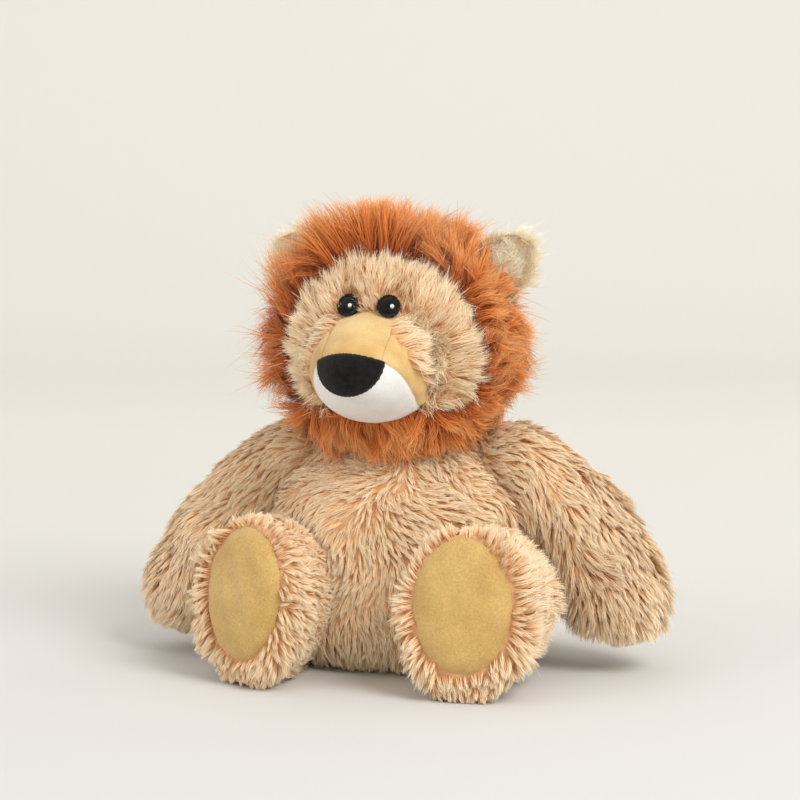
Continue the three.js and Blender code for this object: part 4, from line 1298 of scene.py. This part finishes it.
def pocket_facing():
    """Lining that closes the pocket beside the bottle's neck, with hems that slope like its shoulders."""
    neck_side = NECK_RADIUS + 2.5
    window_side = FLAP_HALF - WINDOW_LEDGE + 2
    hem_height, hem_drop, top, depth = 86, 24, 110, 11.6

    def hem(x):
        return hem_height - hem_drop * ((np.abs(x) - neck_side) / (window_side - neck_side)) ** 0.8

    for name, start, end in (("left", neck_side, window_side), ("right", -window_side, -neck_side)):
        def place(across, up):
            x = start + (end - start) * across
            return x, hem(x) + (top - hem(x)) * up

        grid, normals, faces = back_grid(place, 28, 24)
        over_hem = grid[:, 2] - hem(grid[:, 0])
        sink = depth - 0.35 * small_swirl(grid * 2) - 0.25 * tone_field(grid * 5)
        sink -= 0.6 * np.exp(-((over_hem - 1.2) / 0.8) ** 2)
        mesh_piece(f"pocket_facing_{name}", grid - normals * sink[:, None], faces, "torso", "lining", LINING)


def pocket():
    """The pocket's lining: its solid's shape in thin cloth, with rounded corners and wrinkles."""
    longest = 4.5 * MM
    cloth = bmesh.new()
    cloth.from_mesh(frame["nodes"]["pocket_lining"].data)
    bmesh.ops.remove_doubles(cloth, verts=cloth.verts, dist=0.01 * MM)
    for _ in range(5):
        long = [edge for edge in cloth.edges if edge.calc_length() > longest]
        if not long:
            break
        bmesh.ops.subdivide_edges(cloth, edges=long, cuts=1)
        bmesh.ops.triangulate(cloth, faces=cloth.faces)
    for _ in range(2):
        bmesh.ops.smooth_vert(cloth, verts=cloth.verts, factor=0.4,
                              use_axis_x=True, use_axis_y=True, use_axis_z=True)
    points = np.array([vertex.co[:] for vertex in cloth.verts]) / MM
    faces = [[vertex.index for vertex in face.verts] for face in cloth.faces]
    cloth.free()
    wrinkle = [field(seed, wavelength) for seed, wavelength in ((121, 16), (122, 16), (123, 22))]
    points = points + 0.4 * np.stack([w(points) for w in wrinkle], 1)
    mesh_piece("pocket_cloth", points, faces, "torso", "lining", LINING, "pocket_lining")


def turned(profile, sides=64):
    """Points and faces of a closed profile of radius and height, turned about the bottle's own axis."""
    angles = [2 * math.pi * k / sides for k in range(sides)]
    points = [(radius * math.cos(angle), BOTTLE_BACK + radius * math.sin(angle), BOTTLE_BASE + height)
              for radius, height in profile for angle in angles]
    faces = []
    for ring in range(len(profile)):
        above = (ring + 1) % len(profile) * sides
        faces += [(b, c, d, a) for a, b, c, d in band(above, ring * sides, sides)]
    return points, faces


def bottle():
    """The rubber bottle: ribbed faces, a welded seam round its sides, and a beaded neck."""
    points, _, tris = form_surface(FORMS["bottle"], 150, 260)
    x, y, z = points.T
    height = (z - BOTTLE_BASE) / BOTTLE_HEIGHT
    panel = np.minimum.reduce([0.82 - np.abs(x) / (BOTTLE_WIDTH / 2), height - 0.14, 0.86 - height])
    ribs = 0.5 * np.clip(8 * panel, 0, 1) * (1 + np.cos(2 * np.pi * x / 5.2)) / 2
    seam = 0.9 * np.exp(-((y - BOTTLE_BACK) / 0.9) ** 2)
    points = points + vertex_normals(points, tris) * (ribs + seam)[:, None]
    mesh_piece("bottle_body", points, tris, "torso", "rubber_red", RUBBER, "rubber_bottle")
    top = BOTTLE_HEIGHT + NECK_LENGTH
    profile = [(NECK_BORE, BOTTLE_HEIGHT - 8), (NECK_RADIUS + 3, BOTTLE_HEIGHT - 3),
               (NECK_RADIUS + 0.6, BOTTLE_HEIGHT)]
    profile += [(NECK_RADIUS + 0.35 * (1 + math.sin(step)), BOTTLE_HEIGHT + 1 + step * 0.55)
                for step in range(15)]
    profile += [(NECK_RADIUS - 0.4, top), (NECK_BORE + 0.4, top), (NECK_BORE, top - 0.5)]
    mesh_piece("bottle_neck", *turned(profile), "torso", "rubber_red", RUBBER)


back_flap()
pocket()
pocket_facing()
bottle()

# Pieces shown as their solids are
for material, names in (
    (STUFFING, [f"{part}_filling" for part in ("torso", "head", "muzzle", *LIMB_BEND)]),
    (TAPE, ["hook_strip", "loop_strip"]), (BRASS, ["neck_insert"]),
    (DARK_RUBBER, ["sealing_washer", "stopper"]),
):
    for name in names:
        solid = frame["nodes"][name].data
        solid.materials.clear()
        solid.materials.append(material)

with open("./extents.json", "w") as out:
    json.dump([[list(map(float, p)) for p in cad_box], [list(map(float, p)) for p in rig.bounds()]], out)
